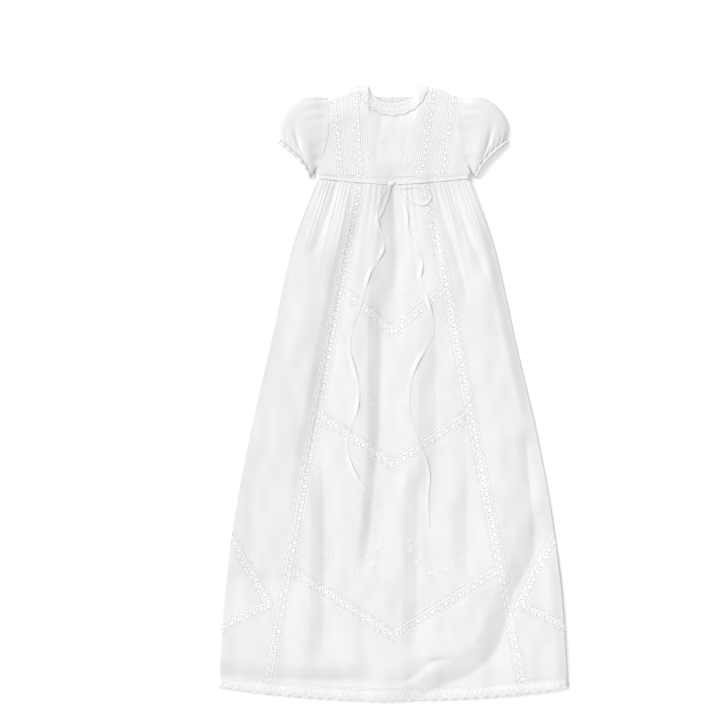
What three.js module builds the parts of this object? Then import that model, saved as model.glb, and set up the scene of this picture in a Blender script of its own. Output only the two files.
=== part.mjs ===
// Christening gown laid flat on its back, front side up, in millimetres.
// +Y points from the hem to the neck, +X to the right of someone looking down on it, and +Z up.
// The origin lies on the surface under the middle of the gown.
// The back lies flat. The front rests on it as a height above the surface, with gathers and folds.
import * as THREE from "three";

// Driving sizes
const GOWN_LENGTH = 860;
const TOP_Y = GOWN_LENGTH / 2;
const HEM_CENTRE_Y = -TOP_Y;
const CLOTH = 1.2;
const SEAM = 0.3;
const SLANTED_SEAM = 0.4;

// Waist
const WAIST_Y = 296;
const WAIST_RISE = 6;
const WAIST_HALF = 107;
const BAND_HALF = 5;

// Skirt outline: half width at each distance below the waist
const SKIRT_OUTLINE = [
  { down: 0, half: 108 },
  { down: 27, half: 119 },
  { down: 83, half: 140 },
  { down: 139, half: 154 },
  { down: 223, half: 172 },
  { down: 335, half: 198 },
  { down: 447, half: 220 },
  { down: 559, half: 236 },
  { down: 671, half: 244 },
  { down: 730, half: 246 },
];
const HEM_HALF = 246;
const HEM_RISE = 18;
const HEM_LACE = 17;
const HEM_SCALLOPS = 34;
const HEM_SCALLOP_DEPTH = 2.4;

// Lace insertions of the skirt
const LACE = 15;
const STRIPS = {
  left: { waistX: 47, hemX: 179 },
  right: { waistX: 45, hemX: 186 },
};
const CHEVRONS = [
  { name: "upper", tipY: 85, rise: 56 },
  { name: "middle", tipY: -100, rise: 67 },
  { name: "lower", tipY: -338, rise: 89 },
];
const DIAMOND = { cornerY: -298, upperSideY: -186, lowerSideY: -335 };
const UPPER_ARM_RISE = 27;
const LOWER_ARM_RISE = 16;
const MITRE_START = 0.05;
const MITRE_COLUMNS = 3;
const ARM_COLUMNS = 10;

// Bodice
const NECK_HALF = 34;
const FRONT_NECK_DEPTH = 25;
const BACK_NECK_DEPTH = 15;
const SHOULDER_START = 52;
const SHOULDER_TIP = { x: 94, y: 414 };
const UNDERARM = { x: 108, y: 308 };
const ARMHOLE_HOLLOW = 10;
const BODICE_LACE = 12;
const BODICE_STRIPS = {
  left: { inner: { waistX: 46, shoulderX: 53 }, outer: { waistX: 71.5, shoulderX: 85.5 } },
  right: { inner: { waistX: 37, shoulderX: 58 }, outer: { waistX: 66.5, shoulderX: 85 } },
};
const COLLAR_OUTER = { half: 48, depth: 43 };
const COLLAR_SWEEP = THREE.MathUtils.degToRad(84);
const COLLAR_SCALLOPS = 9;
const COLLAR_LIFT = 1;
const COLLAR_SCALLOP_DEPTH = 1.6;

// How the front lies on the back
const FRONT_REST = CLOTH + SEAM;
const LOFT = 6.5;
const EDGE_REST = 10;
const EDGE_ROLL = 5;
const RIGHT_ROLL = 17;
const SHOULDER_ROLL = 16;
const NECK_ROLL = 40;
const NECK_SHARE = 0.5;
const BACK_INSET = 13;
const SOFT_FLOOR = 0.9;

// Gathers under the waist, counted in each panel
const CENTRE_GATHERS = 8;
const SIDE_GATHERS = 9;
const GATHER_HEIGHT = 1.2;
const GATHER_LENGTH = 80;

// Largest folds of the front: a ridge has a positive height and a trough a negative one.
// Each follows a line and dies away on its left and on its right by its own length.
// Where one runs across the gown, its left is the side towards the hem.
const FOLD_CREST = 2;
const FOLD_FADE = 0.2;
const FOLDS = [
  {
    name: "left lace crest",
    across: false,
    line: [
      [-54, 330], [-66, 243], [-87, 168], [-98, 111], [-109, 65], [-115, 24], [-127, -33], [-138, -91],
      [-150, -206], [-157, -270],
    ],
    left: 80,
    right: 18,
    height: 1.6,
  },
  {
    name: "left lace trough",
    across: false,
    line: [
      [-36, 330], [-47, 243], [-68, 168], [-79, 111], [-90, 65], [-96, 24], [-107, -33], [-118, -91],
      [-131, -206], [-138, -270],
    ],
    left: 20,
    right: 60,
    height: -5.2,
  },
  {
    name: "top crest",
    across: false,
    line: [[-10, 330], [-14, 282], [-22, 230], [-28, 190], [-36, 122], [-37, 60]],
    left: 60,
    right: 26,
    height: 3,
  },
  {
    name: "top trough",
    across: false,
    line: [[0, 330], [0, 282], [5, 212], [6, 190], [1, 138], [-5, 106], [-8, 60]],
    left: 27,
    right: 30,
    height: -5.6,
  },
  {
    name: "centre crest",
    across: false,
    line: [[-36, 160], [-36, 60], [-37, -90], [-42, -140], [-48, -206], [-54, -270]],
    left: 60,
    right: 13,
    height: 2.2,
  },
  {
    name: "centre trough",
    across: false,
    line: [[-20, 160], [-20, 60], [-22, -90], [-28, -140], [-34, -206], [-40, -270]],
    left: 14,
    right: 50,
    height: -3.8,
  },
  {
    name: "right crest",
    across: false,
    line: [[33, 150], [34, 70], [34, -91], [34, -150]],
    left: 60,
    right: 26,
    height: 2,
  },
  {
    name: "right trough",
    across: false,
    line: [[58, 150], [60, 82], [60, 0], [61, -91], [61, -150]],
    left: 26,
    right: 55,
    height: -4.8,
  },
  {
    name: "low centre crest",
    across: false,
    line: [[22, -90], [15, -148], [14, -250], [12, -315], [10, -370]],
    left: 55,
    right: 18,
    height: 1.6,
  },
  {
    name: "low centre trough",
    across: false,
    line: [[42, -90], [35, -148], [34, -250], [32, -315], [30, -370]],
    left: 20,
    right: 50,
    height: -3.4,
  },
  {
    name: "right side trough",
    across: false,
    line: [[186, -40], [190, -114], [197, -180], [201, -240]],
    left: 11,
    right: 18,
    height: -3.6,
  },
  {
    name: "diagonal crest",
    across: false,
    line: [
      [166, -150], [170, -205], [160, -245], [146, -270], [136, -292], [128, -316], [116, -342],
      [95, -364], [70, -380], [24, -396],
    ],
    left: 45,
    right: 28,
    height: 2,
  },
  {
    name: "diagonal trough",
    across: false,
    line: [
      [197, -150], [201, -200], [194, -232], [181, -258], [167, -286], [158, -321], [145, -358],
      [122, -383], [96, -398], [44, -412],
    ],
    left: 27,
    right: 30,
    height: -5.4,
  },
  {
    name: "hem crest",
    across: true,
    line: [[-320, -370], [-240, -373], [-181, -378], [-120, -380], [-63, -379], [-10, -376]],
    left: 20,
    right: 60,
    height: 2.2,
  },
  {
    name: "hem trough",
    across: true,
    line: [[-320, -391], [-240, -394], [-181, -399], [-120, -401], [-63, -400], [-10, -397]],
    left: 40,
    right: 20,
    height: -5.4,
  },
  {
    name: "low left crest",
    across: false,
    line: [[-117, -70], [-116, -131], [-115, -250], [-116, -327], [-117, -390]],
    left: 40,
    right: 18,
    height: 1.5,
  },
  {
    name: "low left trough",
    across: false,
    line: [[-98, -70], [-97, -131], [-96, -250], [-97, -327], [-98, -390]],
    left: 18,
    right: 45,
    height: -4.4,
  },
  {
    name: "low right trough",
    across: false,
    line: [[98, 0], [102, -56], [104, -150], [104, -217], [104, -280]],
    left: 18,
    right: 40,
    height: -2.4,
  },
  {
    name: "left corner trough",
    across: true,
    line: [[-240, -256], [-204, -261], [-170, -263], [-132, -262]],
    left: 50,
    right: 24,
    height: -5.4,
  },
  {
    name: "left outline crest",
    across: false,
    line: [[-108, 310], [-140, 215], [-172, 75], [-198, -40], [-220, -150], [-236, -263], [-246, -400]],
    left: 30,
    right: 60,
    height: 1.8,
  },
];

// Puff sleeve: sections from the armhole to the cuff, each from its cap edge to its underarm edge
const SLEEVE_SECTIONS = [
  { along: 0.0, capX: 94.5, capY: 414, underX: 109, underY: 309, hollow: 10, height: 9 },
  { along: 0.2, capX: 124, capY: 414, underX: 110, underY: 308, hollow: 7, height: 12.5 },
  { along: 0.4, capX: 142, capY: 404, underX: 111, underY: 306, hollow: 4, height: 14 },
  { along: 0.6, capX: 156, capY: 388, underX: 112.5, underY: 304.5, hollow: 4, height: 14.5 },
  { along: 0.8, capX: 162, capY: 370, underX: 113, underY: 304, hollow: 5, height: 13.8 },
  { along: 1.0, capX: 159, capY: 354, underX: 113.5, underY: 303, hollow: 7, height: 11.5 },
];
const SLEEVE_GATHERS = 9;
const SLEEVE_GATHER_SHARE = 0.06;
const SLEEVE_ROUNDNESS = 0.6;
const CUFF_WIDTH = 5;
const TUBE_TOP_STEPS = 24;
const TUBE_FLOOR_STEPS = 5;

// Ribbon: the waist sash, the bow and its two tails
const RIBBON = 6;
const RIBBON_WALL = 1;
const RIBBON_LIFT = 0.5;
const RIBBON_SPAN = 4;
const KNOT = { x: -2, y: 293, halfX: 5, halfY: 4.5, halfZ: 3.2 };
const LOOP_FOOT = 1.2;
const SASH_DROP = 3;
const SASH_INSET = 16;
const BOW_LOOPS = [
  { name: "left", tipX: -24, tipY: 254, height: 7 },
  { name: "right", tipX: 44, tipY: 284, height: 7 },
];
const TAIL_STEP = 14;
const LEFT_TAIL_ROUTE = [
  [-6, 287.5], [-17, 274], [-23, 257], [-24, 241], [-17, 224], [-14, 206], [-22, 186], [-34, 168],
  [-40, 146], [-49, 115], [-60, 82], [-61, 55], [-54, 28], [-49, 6], [-53, -28], [-64, -62],
  [-64, -86], [-54, -113], [-38, -136], [-20, -156],
];
const RIGHT_TAIL_ROUTE = [
  [3, 286], [12, 272], [18, 250], [20, 226], [32, 206], [39, 184], [37, 162], [44, 140],
  [53, 108], [55, 84], [46, 66], [31, 40], [23, 14], [21, -12], [26, -44], [36, -72],
  [45, -94], [49, -116], [47, -150], [49, -187],
];

// Cloth finishes
const lawn = { color: 0xf4f4f6, roughness: 0.9, metalness: 0 };
const lace = { color: 0xfbfbfb, roughness: 0.85, metalness: 0 };
const satin = { color: 0xffffff, roughness: 0.35, metalness: 0 };

const { lerp, clamp, smoothstep } = THREE.MathUtils;

// Smooth reading of a table: a cubic through the rows of one column, ordered by another column.
function readTable(rows, byColumn, column, at) {
  const last = rows.length - 1;
  let row = rows.findIndex((r) => r[byColumn] > at) - 1;
  if (row < 0) row = at <= rows[0][byColumn] ? 0 : last - 1;
  const next = rows[row + 1];
  const span = next[byColumn] - rows[row][byColumn];
  const share = clamp((at - rows[row][byColumn]) / span, 0, 1);
  const slopeAt = (k) => {
    const before = rows[Math.max(k - 1, 0)];
    const after = rows[Math.min(k + 1, last)];
    return (after[column] - before[column]) / (after[byColumn] - before[byColumn]);
  };
  const square = share * share;
  const cube = square * share;
  return (
    (2 * cube - 3 * square + 1) * rows[row][column] +
    (cube - 2 * square + share) * span * slopeAt(row) +
    (3 * square - 2 * cube) * next[column] +
    (cube - square) * span * slopeAt(row + 1)
  );
}

// Plan of the gown, seen from above

const waistY = (x) => WAIST_Y + WAIST_RISE * (x / WAIST_HALF) ** 2;
const skirtTopY = (x) => waistY(x) - BAND_HALF - SEAM;
const hemEdgeY = (x) => HEM_CENTRE_Y + HEM_RISE * (x / HEM_HALF) ** 2;
const hemY = (x) => hemEdgeY(x) + HEM_LACE + SEAM;
const skirtHalf = (y) => readTable(SKIRT_OUTLINE, "down", "half", WAIST_Y - y);

// How far out the middle of a long lace strip lies at a height y. The sign is -1 on the left.
function stripX(y, sign) {
  const { waistX, hemX } = sign < 0 ? STRIPS.left : STRIPS.right;
  return lerp(waistX, hemX, (WAIST_Y - y) / (WAIST_Y - HEM_CENTRE_Y));
}

const centreHalf = (y, sign) => stripX(y, sign) - LACE / 2 - SEAM / 2;
const sideStart = (y, sign) => stripX(y, sign) + LACE / 2 + SEAM / 2;

// Upper edge of the front bodice: the neckline, a level part, then the shoulder.
function bodiceTopY(x) {
  const out = Math.abs(x);
  if (out < NECK_HALF) {
    return TOP_Y - FRONT_NECK_DEPTH * Math.sqrt(1 - (out / NECK_HALF) ** 2);
  }
  const share = clamp((out - SHOULDER_START) / (SHOULDER_TIP.x - SHOULDER_START), 0, 1);
  return lerp(TOP_Y, SHOULDER_TIP.y, share);
}

// The armhole seam, from the shoulder tip to the underarm.
function armholeX(y) {
  const share = clamp((SHOULDER_TIP.y - y) / (SHOULDER_TIP.y - UNDERARM.y), 0, 1);
  const straight = lerp(SHOULDER_TIP.x, UNDERARM.x, share);
  return straight - ARMHOLE_HOLLOW * 4 * share * (1 - share);
}

function bodiceStripX(strip, y) {
  const share = (y - WAIST_Y) / (TOP_Y - WAIST_Y);
  return lerp(strip.waistX, strip.shoulderX, share);
}

// How high the front lies

// An even wobble between 0 and 1 that differs from one gather to the next.
const unevenness = (k) => 0.5 + 0.5 * Math.sin(k * 2.4 + 0.7);

// The line of each fold as a table: how far along the gown, and how far off to the side.
const foldTables = FOLDS.map(({ across, line }) =>
  line.map(([x, y]) => (across ? { step: x, offset: y } : { step: -y, offset: x })),
);

// A fold at a point: its height, faded at both ends and across its width.
function foldHeight(number, x, y) {
  const fold = FOLDS[number];
  const table = foldTables[number];
  const [step, offset] = fold.across ? [x, y] : [-y, x];
  const share = (step - table[0].step) / (table.at(-1).step - table[0].step);
  if (share <= 0 || share >= 1) return 0;
  const lineAt = (place) => readTable(table, "step", "offset", place);
  const slope = (lineAt(step + FOLD_CREST) - lineAt(step - FOLD_CREST)) / (2 * FOLD_CREST);
  const away = (offset - lineAt(step)) / Math.hypot(1, slope);
  const fade = smoothstep(share, 0, FOLD_FADE) * (1 - smoothstep(share, 1 - FOLD_FADE, 1));
  const reach = away < 0 ? fold.left : fold.right;
  return fold.height * fade * Math.exp((FOLD_CREST - Math.hypot(away, FOLD_CREST)) / reach);
}

// Gathers run down from the waist along lines that fan out with their panel.
function gatherHeight(x, y) {
  const down = skirtTopY(x) - y;
  if (down < 0) return 0;
  const out = Math.abs(x);
  const sign = Math.sign(x);
  const start = sideStart(y, sign);
  let share;
  let count;
  if (out < centreHalf(y, sign)) {
    share = (x / centreHalf(y, sign) + 1) / 2;
    count = CENTRE_GATHERS;
  } else if (out > start) {
    share = clamp((out - start) / (skirtHalf(y) - start), 0, 1);
    count = SIDE_GATHERS;
  } else {
    return 0;
  }
  const k = Math.floor(share * count) + (x > 0 ? count : 0);
  const reach = GATHER_LENGTH * (0.5 + unevenness(k));
  const height = GATHER_HEIGHT * (0.6 + 0.4 * unevenness(k + 3)) * Math.exp(-((down / reach) ** 2));
  return height * (0.5 - 0.5 * Math.cos(2 * Math.PI * share * count));
}

// Share of the full height near the outline, where the front turns down to the surface.
function edgeShare(x, y, roll) {
  const out = Math.abs(x);
  if (y <= waistY(x) + BAND_HALF) return smoothstep(skirtHalf(y) - out, 0, roll);
  const below = bodiceTopY(x) - y;
  const neck = lerp(NECK_SHARE, 1, smoothstep(below, 0, NECK_ROLL));
  return out < NECK_HALF ? neck : Math.min(neck, smoothstep(below, -2, SHOULDER_ROLL));
}

// Underside of the front cloth above the surface.
function frontUnder(x, y) {
  const folds = FOLDS.reduce((sum, fold, number) => sum + foldHeight(number, x, y), 0);
  const raised = LOFT + gatherHeight(x, y) + folds;
  const kept = 0.5 * (raised + Math.hypot(raised, SOFT_FLOOR));
  const wide = smoothstep(y, -60, 20) * (1 - smoothstep(y, 200, 270));
  const roll = EDGE_ROLL + (x > 0 ? RIGHT_ROLL : 0) * wide;
  return edgeShare(x, y, EDGE_REST) * FRONT_REST + edgeShare(x, y, roll) * kept;
}

const frontTop = (x, y) => frontUnder(x, y) + CLOTH;

// Height at which a ribbon lies, bridging the narrow dips below it.
function ribbonRest(x, y) {
  const spots = [-RIBBON_SPAN, 0, RIBBON_SPAN].flatMap((dx) => [
    frontTop(x + dx, y - RIBBON_SPAN),
    frontTop(x + dx, y),
    frontTop(x + dx, y + RIBBON_SPAN),
  ]);
  return Math.max(...spots) + RIBBON_LIFT;
}

// Closed walls

// A geometry from points and quads, each quad as four point numbers in counter-clockwise order.
function closedGeometry(points, quads) {
  const geometry = new THREE.BufferGeometry();
  const index = quads.flatMap(([a, b, c, d]) => [a, b, c, a, c, d]);
  geometry.setAttribute("position", new THREE.Float32BufferAttribute(points.flat(), 3));
  geometry.setIndex(index);
  geometry.computeVertexNormals();
  return geometry;
}

// A wall between two faces over one grid. place(u, v) gives the lower and the upper point.
// u runs to the right and v to the left of it, seen from above.
function wallGeometry(columns, rows, place) {
  const lower = [];
  const upper = [];
  for (let j = 0; j <= rows; j++) {
    for (let i = 0; i <= columns; i++) {
      const [low, high] = place(i / columns, j / rows);
      lower.push(low);
      upper.push(high);
    }
  }
  const wide = columns + 1;
  const lift = lower.length;
  const quads = [];
  for (let j = 0; j < rows; j++) {
    for (let i = 0; i < columns; i++) {
      const a = j * wide + i;
      quads.push([lift + a, lift + a + 1, lift + a + wide + 1, lift + a + wide]);
      quads.push([a, a + wide, a + wide + 1, a + 1]);
    }
  }
  for (let i = 0; i < columns; i++) {
    const far = rows * wide + i;
    quads.push([i, i + 1, lift + i + 1, lift + i]);
    quads.push([far + 1, far, lift + far, lift + far + 1]);
  }
  for (let j = 0; j < rows; j++) {
    const left = j * wide;
    const right = left + columns;
    quads.push([left + wide, left, lift + left, lift + left + wide]);
    quads.push([right, right + wide, lift + right + wide, lift + right]);
  }
  return closedGeometry([...lower, ...upper], quads);
}

// An open tube with a wall: place(k, v) gives the outer and the inner point of ring point k.
function tubeGeometry(around, rows, place) {
  const outer = [];
  const inner = [];
  for (let j = 0; j <= rows; j++) {
    for (let k = 0; k < around; k++) {
      const [out, within] = place(k, j / rows);
      outer.push(out);
      inner.push(within);
    }
  }
  const shift = outer.length;
  const quads = [];
  for (let k = 0; k < around; k++) {
    const next = (k + 1) % around;
    for (let j = 0; j < rows; j++) {
      const a = j * around + k;
      const b = j * around + next;
      quads.push([a, b, b + around, a + around]);
      quads.push([shift + a, shift + a + around, shift + b + around, shift + b]);
    }
    const far = rows * around;
    quads.push([next, k, shift + k, shift + next]);
    quads.push([far + k, far + next, shift + far + next, shift + far + k]);
  }
  return closedGeometry([...outer, ...inner], quads);
}

const gown = new THREE.Group();

function addPiece(name, geometry, finish) {
  const mesh = new THREE.Mesh(geometry, new THREE.MeshStandardMaterial(finish));
  mesh.name = name;
  gown.add(mesh);
}

// A front panel: plan(u, v) gives its place seen from above, and it lies on the front's height.
function addFrontPanel(name, finish, columns, rows, plan) {
  const place = (u, v) => {
    const [x, y] = plan(u, v);
    const low = frontUnder(x, y);
    return [[x, y, low], [x, y, low + CLOTH]];
  };
  addPiece(name, wallGeometry(columns, rows, place), finish);
}

// A panel that lies flat on the surface, from its outline.
function addFlatPanel(name, finish, outline) {
  const shape = new THREE.Shape(outline.map(([x, y]) => new THREE.Vector2(x, y)));
  const geometry = new THREE.ExtrudeGeometry(shape, { depth: CLOTH, bevelEnabled: false });
  addPiece(name, geometry, finish);
}

const sides = [
  { name: "left", sign: -1 },
  { name: "right", sign: 1 },
];

// A plan that runs left to right on either side of the gown.
const onSide = (sign, across, y) => [sign * across, y];
const shareOnSide = (sign, u) => (sign > 0 ? u : 1 - u);

// Skirt front: the centre panel, parted by lace chevrons

// Middle line of a chevron, from the strip (n = -1 or 1) to its tip (n = 0).
const chevronY = (chevron, n) => chevron.tipY + chevron.rise * Math.abs(n);

// Half the height of a chevron's lace, which is its half width measured along its slant.
function chevronHalf(chevron) {
  const slope = chevron.rise / centreHalf(chevron.tipY + chevron.rise / 2, 1);
  return (LACE / 2) * Math.hypot(1, slope);
}

function addCentrePanel(name, columns, rows, lowerEdge, upperEdge, finish) {
  addFrontPanel(name, finish, columns, rows, (u, v) => {
    const n = 2 * u - 1;
    const y = lerp(lowerEdge(n), upperEdge(n), v);
    return [n * centreHalf(y, n), y];
  });
}

function addSkirtCentre() {
  const seamAbove = (c) => (n) => chevronY(c, n) + chevronHalf(c) + SLANTED_SEAM / 2;
  const seamBelow = (c) => (n) => chevronY(c, n) - chevronHalf(c) - SLANTED_SEAM / 2;
  const [upper, middle, lower] = CHEVRONS;
  const waistEdge = (n) => skirtTopY(n * centreHalf(WAIST_Y, n));
  const hemSeam = (n) => hemY(n * centreHalf(HEM_CENTRE_Y, n));
  addCentrePanel("skirt_centre_top", 4 * CENTRE_GATHERS, 9, seamAbove(upper), waistEdge, lawn);
  addCentrePanel("skirt_centre_upper", 24, 6, seamAbove(middle), seamBelow(upper), lawn);
  addCentrePanel("skirt_centre_lower", 24, 7, seamAbove(lower), seamBelow(middle), lawn);
  addCentrePanel("skirt_centre_hem", 24, 4, hemSeam, seamBelow(lower), lawn);
  for (const chevron of CHEVRONS) {
    const half = chevronHalf(chevron) - SLANTED_SEAM / 2;
    const below = (n) => chevronY(chevron, n) - half;
    const above = (n) => chevronY(chevron, n) + half;
    addCentrePanel("lace_chevron_" + chevron.name, 24, 2, below, above, lace);
  }
}

// Skirt front: the long lace strips

function addSkirtStrips() {
  for (const { name, sign } of sides) {
    addFrontPanel("lace_strip_" + name, lace, 2, 26, (u, v) => {
      const y = lerp(hemY(STRIPS[name].hemX), skirtTopY(STRIPS[name].waistX), v);
      return [sign * stripX(y, sign) + (u - 0.5) * (LACE - SEAM), y];
    });
  }
}

// Skirt front: side panels with half a lace diamond above the hem

// Edges of the diamond's two arms, across the side panel from the strip (0) to the outline (1).
// The arms meet on a mitre that runs from their outer corner at the strip to their inner corner.
const upperOuterY = (share) => lerp(DIAMOND.cornerY, DIAMOND.upperSideY, share);
const lowerOuterY = (share) => lerp(DIAMOND.cornerY, DIAMOND.lowerSideY, share);
const upperInnerY = (share) => upperOuterY(share) - UPPER_ARM_RISE;
const lowerInnerY = (share) => lowerOuterY(share) + LOWER_ARM_RISE;
const MITRE_END = (UPPER_ARM_RISE + LOWER_ARM_RISE) / (DIAMOND.upperSideY - DIAMOND.lowerSideY);

function mitreY(share) {
  return lerp(DIAMOND.cornerY, upperInnerY(MITRE_END), share / MITRE_END);
}

const upperArmBottom = (share) => (share < MITRE_END ? mitreY(share) : upperInnerY(share));
const lowerArmTop = (share) => (share < MITRE_END ? mitreY(share) : lowerInnerY(share));

// Shares across the side panel, from how far along the columns of a piece.
const wholeSide = (u) => u;
const insideDiamond = (u) => lerp(MITRE_END + MITRE_START, 1, u);

function alongArm(u) {
  const turn = MITRE_COLUMNS / ARM_COLUMNS;
  if (u < turn) return lerp(MITRE_START, MITRE_END, u / turn);
  return lerp(MITRE_END, 1, (u - turn) / (1 - turn));
}

function addSidePanel(name, sign, finish, columns, rows, across, lowerEdge, upperEdge) {
  addFrontPanel(name, finish, columns, rows, (u, v) => {
    const share = across(shareOnSide(sign, u));
    const y = lerp(lowerEdge(share), upperEdge(share), v);
    return onSide(sign, lerp(sideStart(y, sign), skirtHalf(y), share), y);
  });
}

function addSkirtSides() {
  const half = SLANTED_SEAM / 2;
  const raised = (edge) => (share) => edge(share) + half;
  const lowered = (edge) => (share) => edge(share) - half;
  for (const { name, sign } of sides) {
    const waistEdge = (share) => skirtTopY(lerp(sideStart(WAIST_Y, sign), skirtHalf(WAIST_Y), share));
    const hemSeam = (share) => hemY(lerp(sideStart(HEM_CENTRE_Y, sign), HEM_HALF, share));
    const add = (piece, ...shape) => addSidePanel(piece + "_" + name, sign, ...shape);
    add("skirt_side", lawn, 4 * SIDE_GATHERS, 8, wholeSide, raised(upperOuterY), waistEdge);
    add("lace_diamond_upper", lace, ARM_COLUMNS, 2, alongArm, raised(upperArmBottom), lowered(upperOuterY));
    add("diamond_cloth", lawn, 8, 4, insideDiamond, raised(lowerInnerY), lowered(upperInnerY));
    add("lace_diamond_lower", lace, ARM_COLUMNS, 2, alongArm, raised(lowerOuterY), lowered(lowerArmTop));
    add("skirt_side_hem", lawn, 10, 4, wholeSide, hemSeam, lowered(lowerOuterY));
  }
}

// Hem lace with a scalloped edge, on the front and under it on the back

const scallop = (share, count) => Math.abs(Math.sin(Math.PI * share * count));

// A point of the hem lace that reaches out to a half width, u from the left and v from its edge up.
function hemPlan(half, u, v) {
  const x = lerp(-half, half, u);
  const notch = HEM_SCALLOP_DEPTH * (1 - scallop(u, HEM_SCALLOPS));
  return [x, hemEdgeY(x) + lerp(notch, HEM_LACE, v)];
}

function addHemLace() {
  const columns = 2 * HEM_SCALLOPS;
  addFrontPanel("lace_hem_front", lace, columns, 1, (u, v) => hemPlan(HEM_HALF, u, v));
  const backLace = (u, v) => {
    const place = hemPlan(HEM_HALF - BACK_INSET, u, v);
    return [[...place, 0], [...place, CLOTH]];
  };
  addPiece("lace_hem_back", wallGeometry(columns, 1, backLace), lace);
}

// Waistband, with the bodice above it and the skirt below

function addWaistband() {
  addFrontPanel("waistband_front", lace, 44, 2, (u, v) => {
    const x = lerp(-WAIST_HALF, WAIST_HALF, u);
    return [x, waistY(x) + lerp(-BAND_HALF, BAND_HALF, v)];
  });
  const half = WAIST_HALF - BACK_INSET;
  const backBand = (u, v) => {
    const x = lerp(-half, half, u);
    const y = waistY(x) + lerp(-BAND_HALF, BAND_HALF, v);
    return [[x, y, 0], [x, y, CLOTH]];
  };
  addPiece("waistband_back", wallGeometry(12, 1, backBand), lawn);
}

// Front bodice: a centre panel, two lace strips on each side with a panel between them, and the sides

// Edges of the front bodice's panels on one side, from the middle out, at a height y.
function bodiceEdges(y, sign) {
  const strips = sign < 0 ? BODICE_STRIPS.left : BODICE_STRIPS.right;
  const inner = bodiceStripX(strips.inner, y);
  const outer = bodiceStripX(strips.outer, y);
  const half = BODICE_LACE / 2;
  return [inner - half, inner + half, outer - half, outer + half, armholeX(y)];
}

// A plan between two edges on one side of the bodice, from the waistband to the shoulder.
function addBodiceSidePiece(name, sign, finish, columns, first) {
  addFrontPanel(name, finish, columns, 8, (u, v) => {
    const across = (y) => {
      const edges = bodiceEdges(y, sign);
      const outerGap = first + 1 === edges.length - 1 ? 0 : SEAM / 2;
      return lerp(edges[first] + SEAM / 2, edges[first + 1] - outerGap, shareOnSide(sign, u));
    };
    const low = waistY(across(WAIST_Y)) + BAND_HALF + SEAM;
    const y = lerp(low, bodiceTopY(across(SHOULDER_TIP.y)), v);
    return onSide(sign, across(y), y);
  });
}

function addFrontBodice() {
  const centreEdge = (y, n) => bodiceEdges(y, n)[0] - SEAM / 2;
  addFrontPanel("bodice_centre", lawn, 24, 7, (u, v) => {
    const n = 2 * u - 1;
    const low = waistY(n * centreEdge(WAIST_Y, n)) + BAND_HALF + SEAM;
    const y = lerp(low, bodiceTopY(n * centreEdge(TOP_Y, n)), v);
    return [n * centreEdge(y, n), y];
  });
  for (const { name, sign } of sides) {
    addBodiceSidePiece("lace_bodice_inner_" + name, sign, lace, 2, 0);
    addBodiceSidePiece("bodice_tucks_" + name, sign, lawn, 4, 1);
    addBodiceSidePiece("lace_bodice_outer_" + name, sign, lace, 2, 2);
    addBodiceSidePiece("bodice_side_" + name, sign, lawn, 4, 3);
  }
}

// Lace collar on the front of the neckline
function addCollar() {
  const geometry = wallGeometry(3 * COLLAR_SCALLOPS, 2, (u, v) => {
    const turn = lerp(-COLLAR_SWEEP, COLLAR_SWEEP, u);
    const edge = COLLAR_SCALLOP_DEPTH * (scallop(u, COLLAR_SCALLOPS) - 1);
    const half = lerp(COLLAR_OUTER.half + edge, NECK_HALF, v);
    const depth = lerp(COLLAR_OUTER.depth + edge, FRONT_NECK_DEPTH, v);
    const x = half * Math.sin(turn);
    const y = TOP_Y - depth * Math.cos(turn);
    const low = frontTop(x, y) + SEAM + COLLAR_LIFT;
    return [[x, y, low], [x, y, low + CLOTH]];
  });
  addPiece("lace_collar", geometry, lace);
}

// Back of the gown, flat on the surface

function addBackSkirt() {
  const steps = 14;
  const outline = [];
  const hem = (x) => hemY(x);
  for (let i = 0; i <= steps; i++) {
    const x = lerp(-HEM_HALF + BACK_INSET, HEM_HALF - BACK_INSET, i / steps);
    outline.push([x, hem(x)]);
  }
  const lowest = hem(HEM_HALF - BACK_INSET);
  const highest = skirtTopY(WAIST_HALF - BACK_INSET);
  for (let i = 1; i < steps; i++) {
    const y = lerp(lowest, highest, i / steps);
    outline.push([skirtHalf(y) - BACK_INSET, y]);
  }
  for (let i = 0; i <= steps; i++) {
    const x = lerp(WAIST_HALF - BACK_INSET, -WAIST_HALF + BACK_INSET, i / steps);
    outline.push([x, skirtTopY(x)]);
  }
  for (let i = steps - 1; i > 0; i--) {
    const y = lerp(lowest, highest, i / steps);
    outline.push([BACK_INSET - skirtHalf(y), y]);
  }
  addFlatPanel("skirt_back", lawn, outline);
}

// The back bodice opens down its middle, so it is two halves.
function addBackBodice() {
  const steps = 8;
  const half = WAIST_HALF - BACK_INSET;
  for (const { name, sign } of sides) {
    const outline = [];
    for (let i = 0; i <= steps; i++) {
      const x = lerp(SEAM / 2, half, i / steps);
      outline.push([x, waistY(x) + BAND_HALF + SEAM]);
    }
    for (let i = 0; i <= steps; i++) {
      const y = lerp(UNDERARM.y + BACK_INSET / 2, SHOULDER_TIP.y - BACK_INSET, i / steps);
      outline.push([Math.min(armholeX(y), armholeX(SHOULDER_TIP.y)) - SEAM, y]);
    }
    outline.push([NECK_HALF, TOP_Y - BACK_INSET]);
    for (let i = 1; i <= steps; i++) {
      const turn = lerp(Math.PI / 2, 0, i / steps);
      const x = Math.max(NECK_HALF * Math.sin(turn), SEAM / 2);
      const drop = (BACK_NECK_DEPTH - BACK_INSET) * Math.cos(turn);
      outline.push([x, TOP_Y - BACK_INSET - drop]);
    }
    const placed = outline.map(([x, y]) => [sign * x, y]);
    addFlatPanel("bodice_back_" + name, lawn, sign > 0 ? placed : placed.reverse());
  }
}

// Puff sleeves and their cuffs

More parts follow.
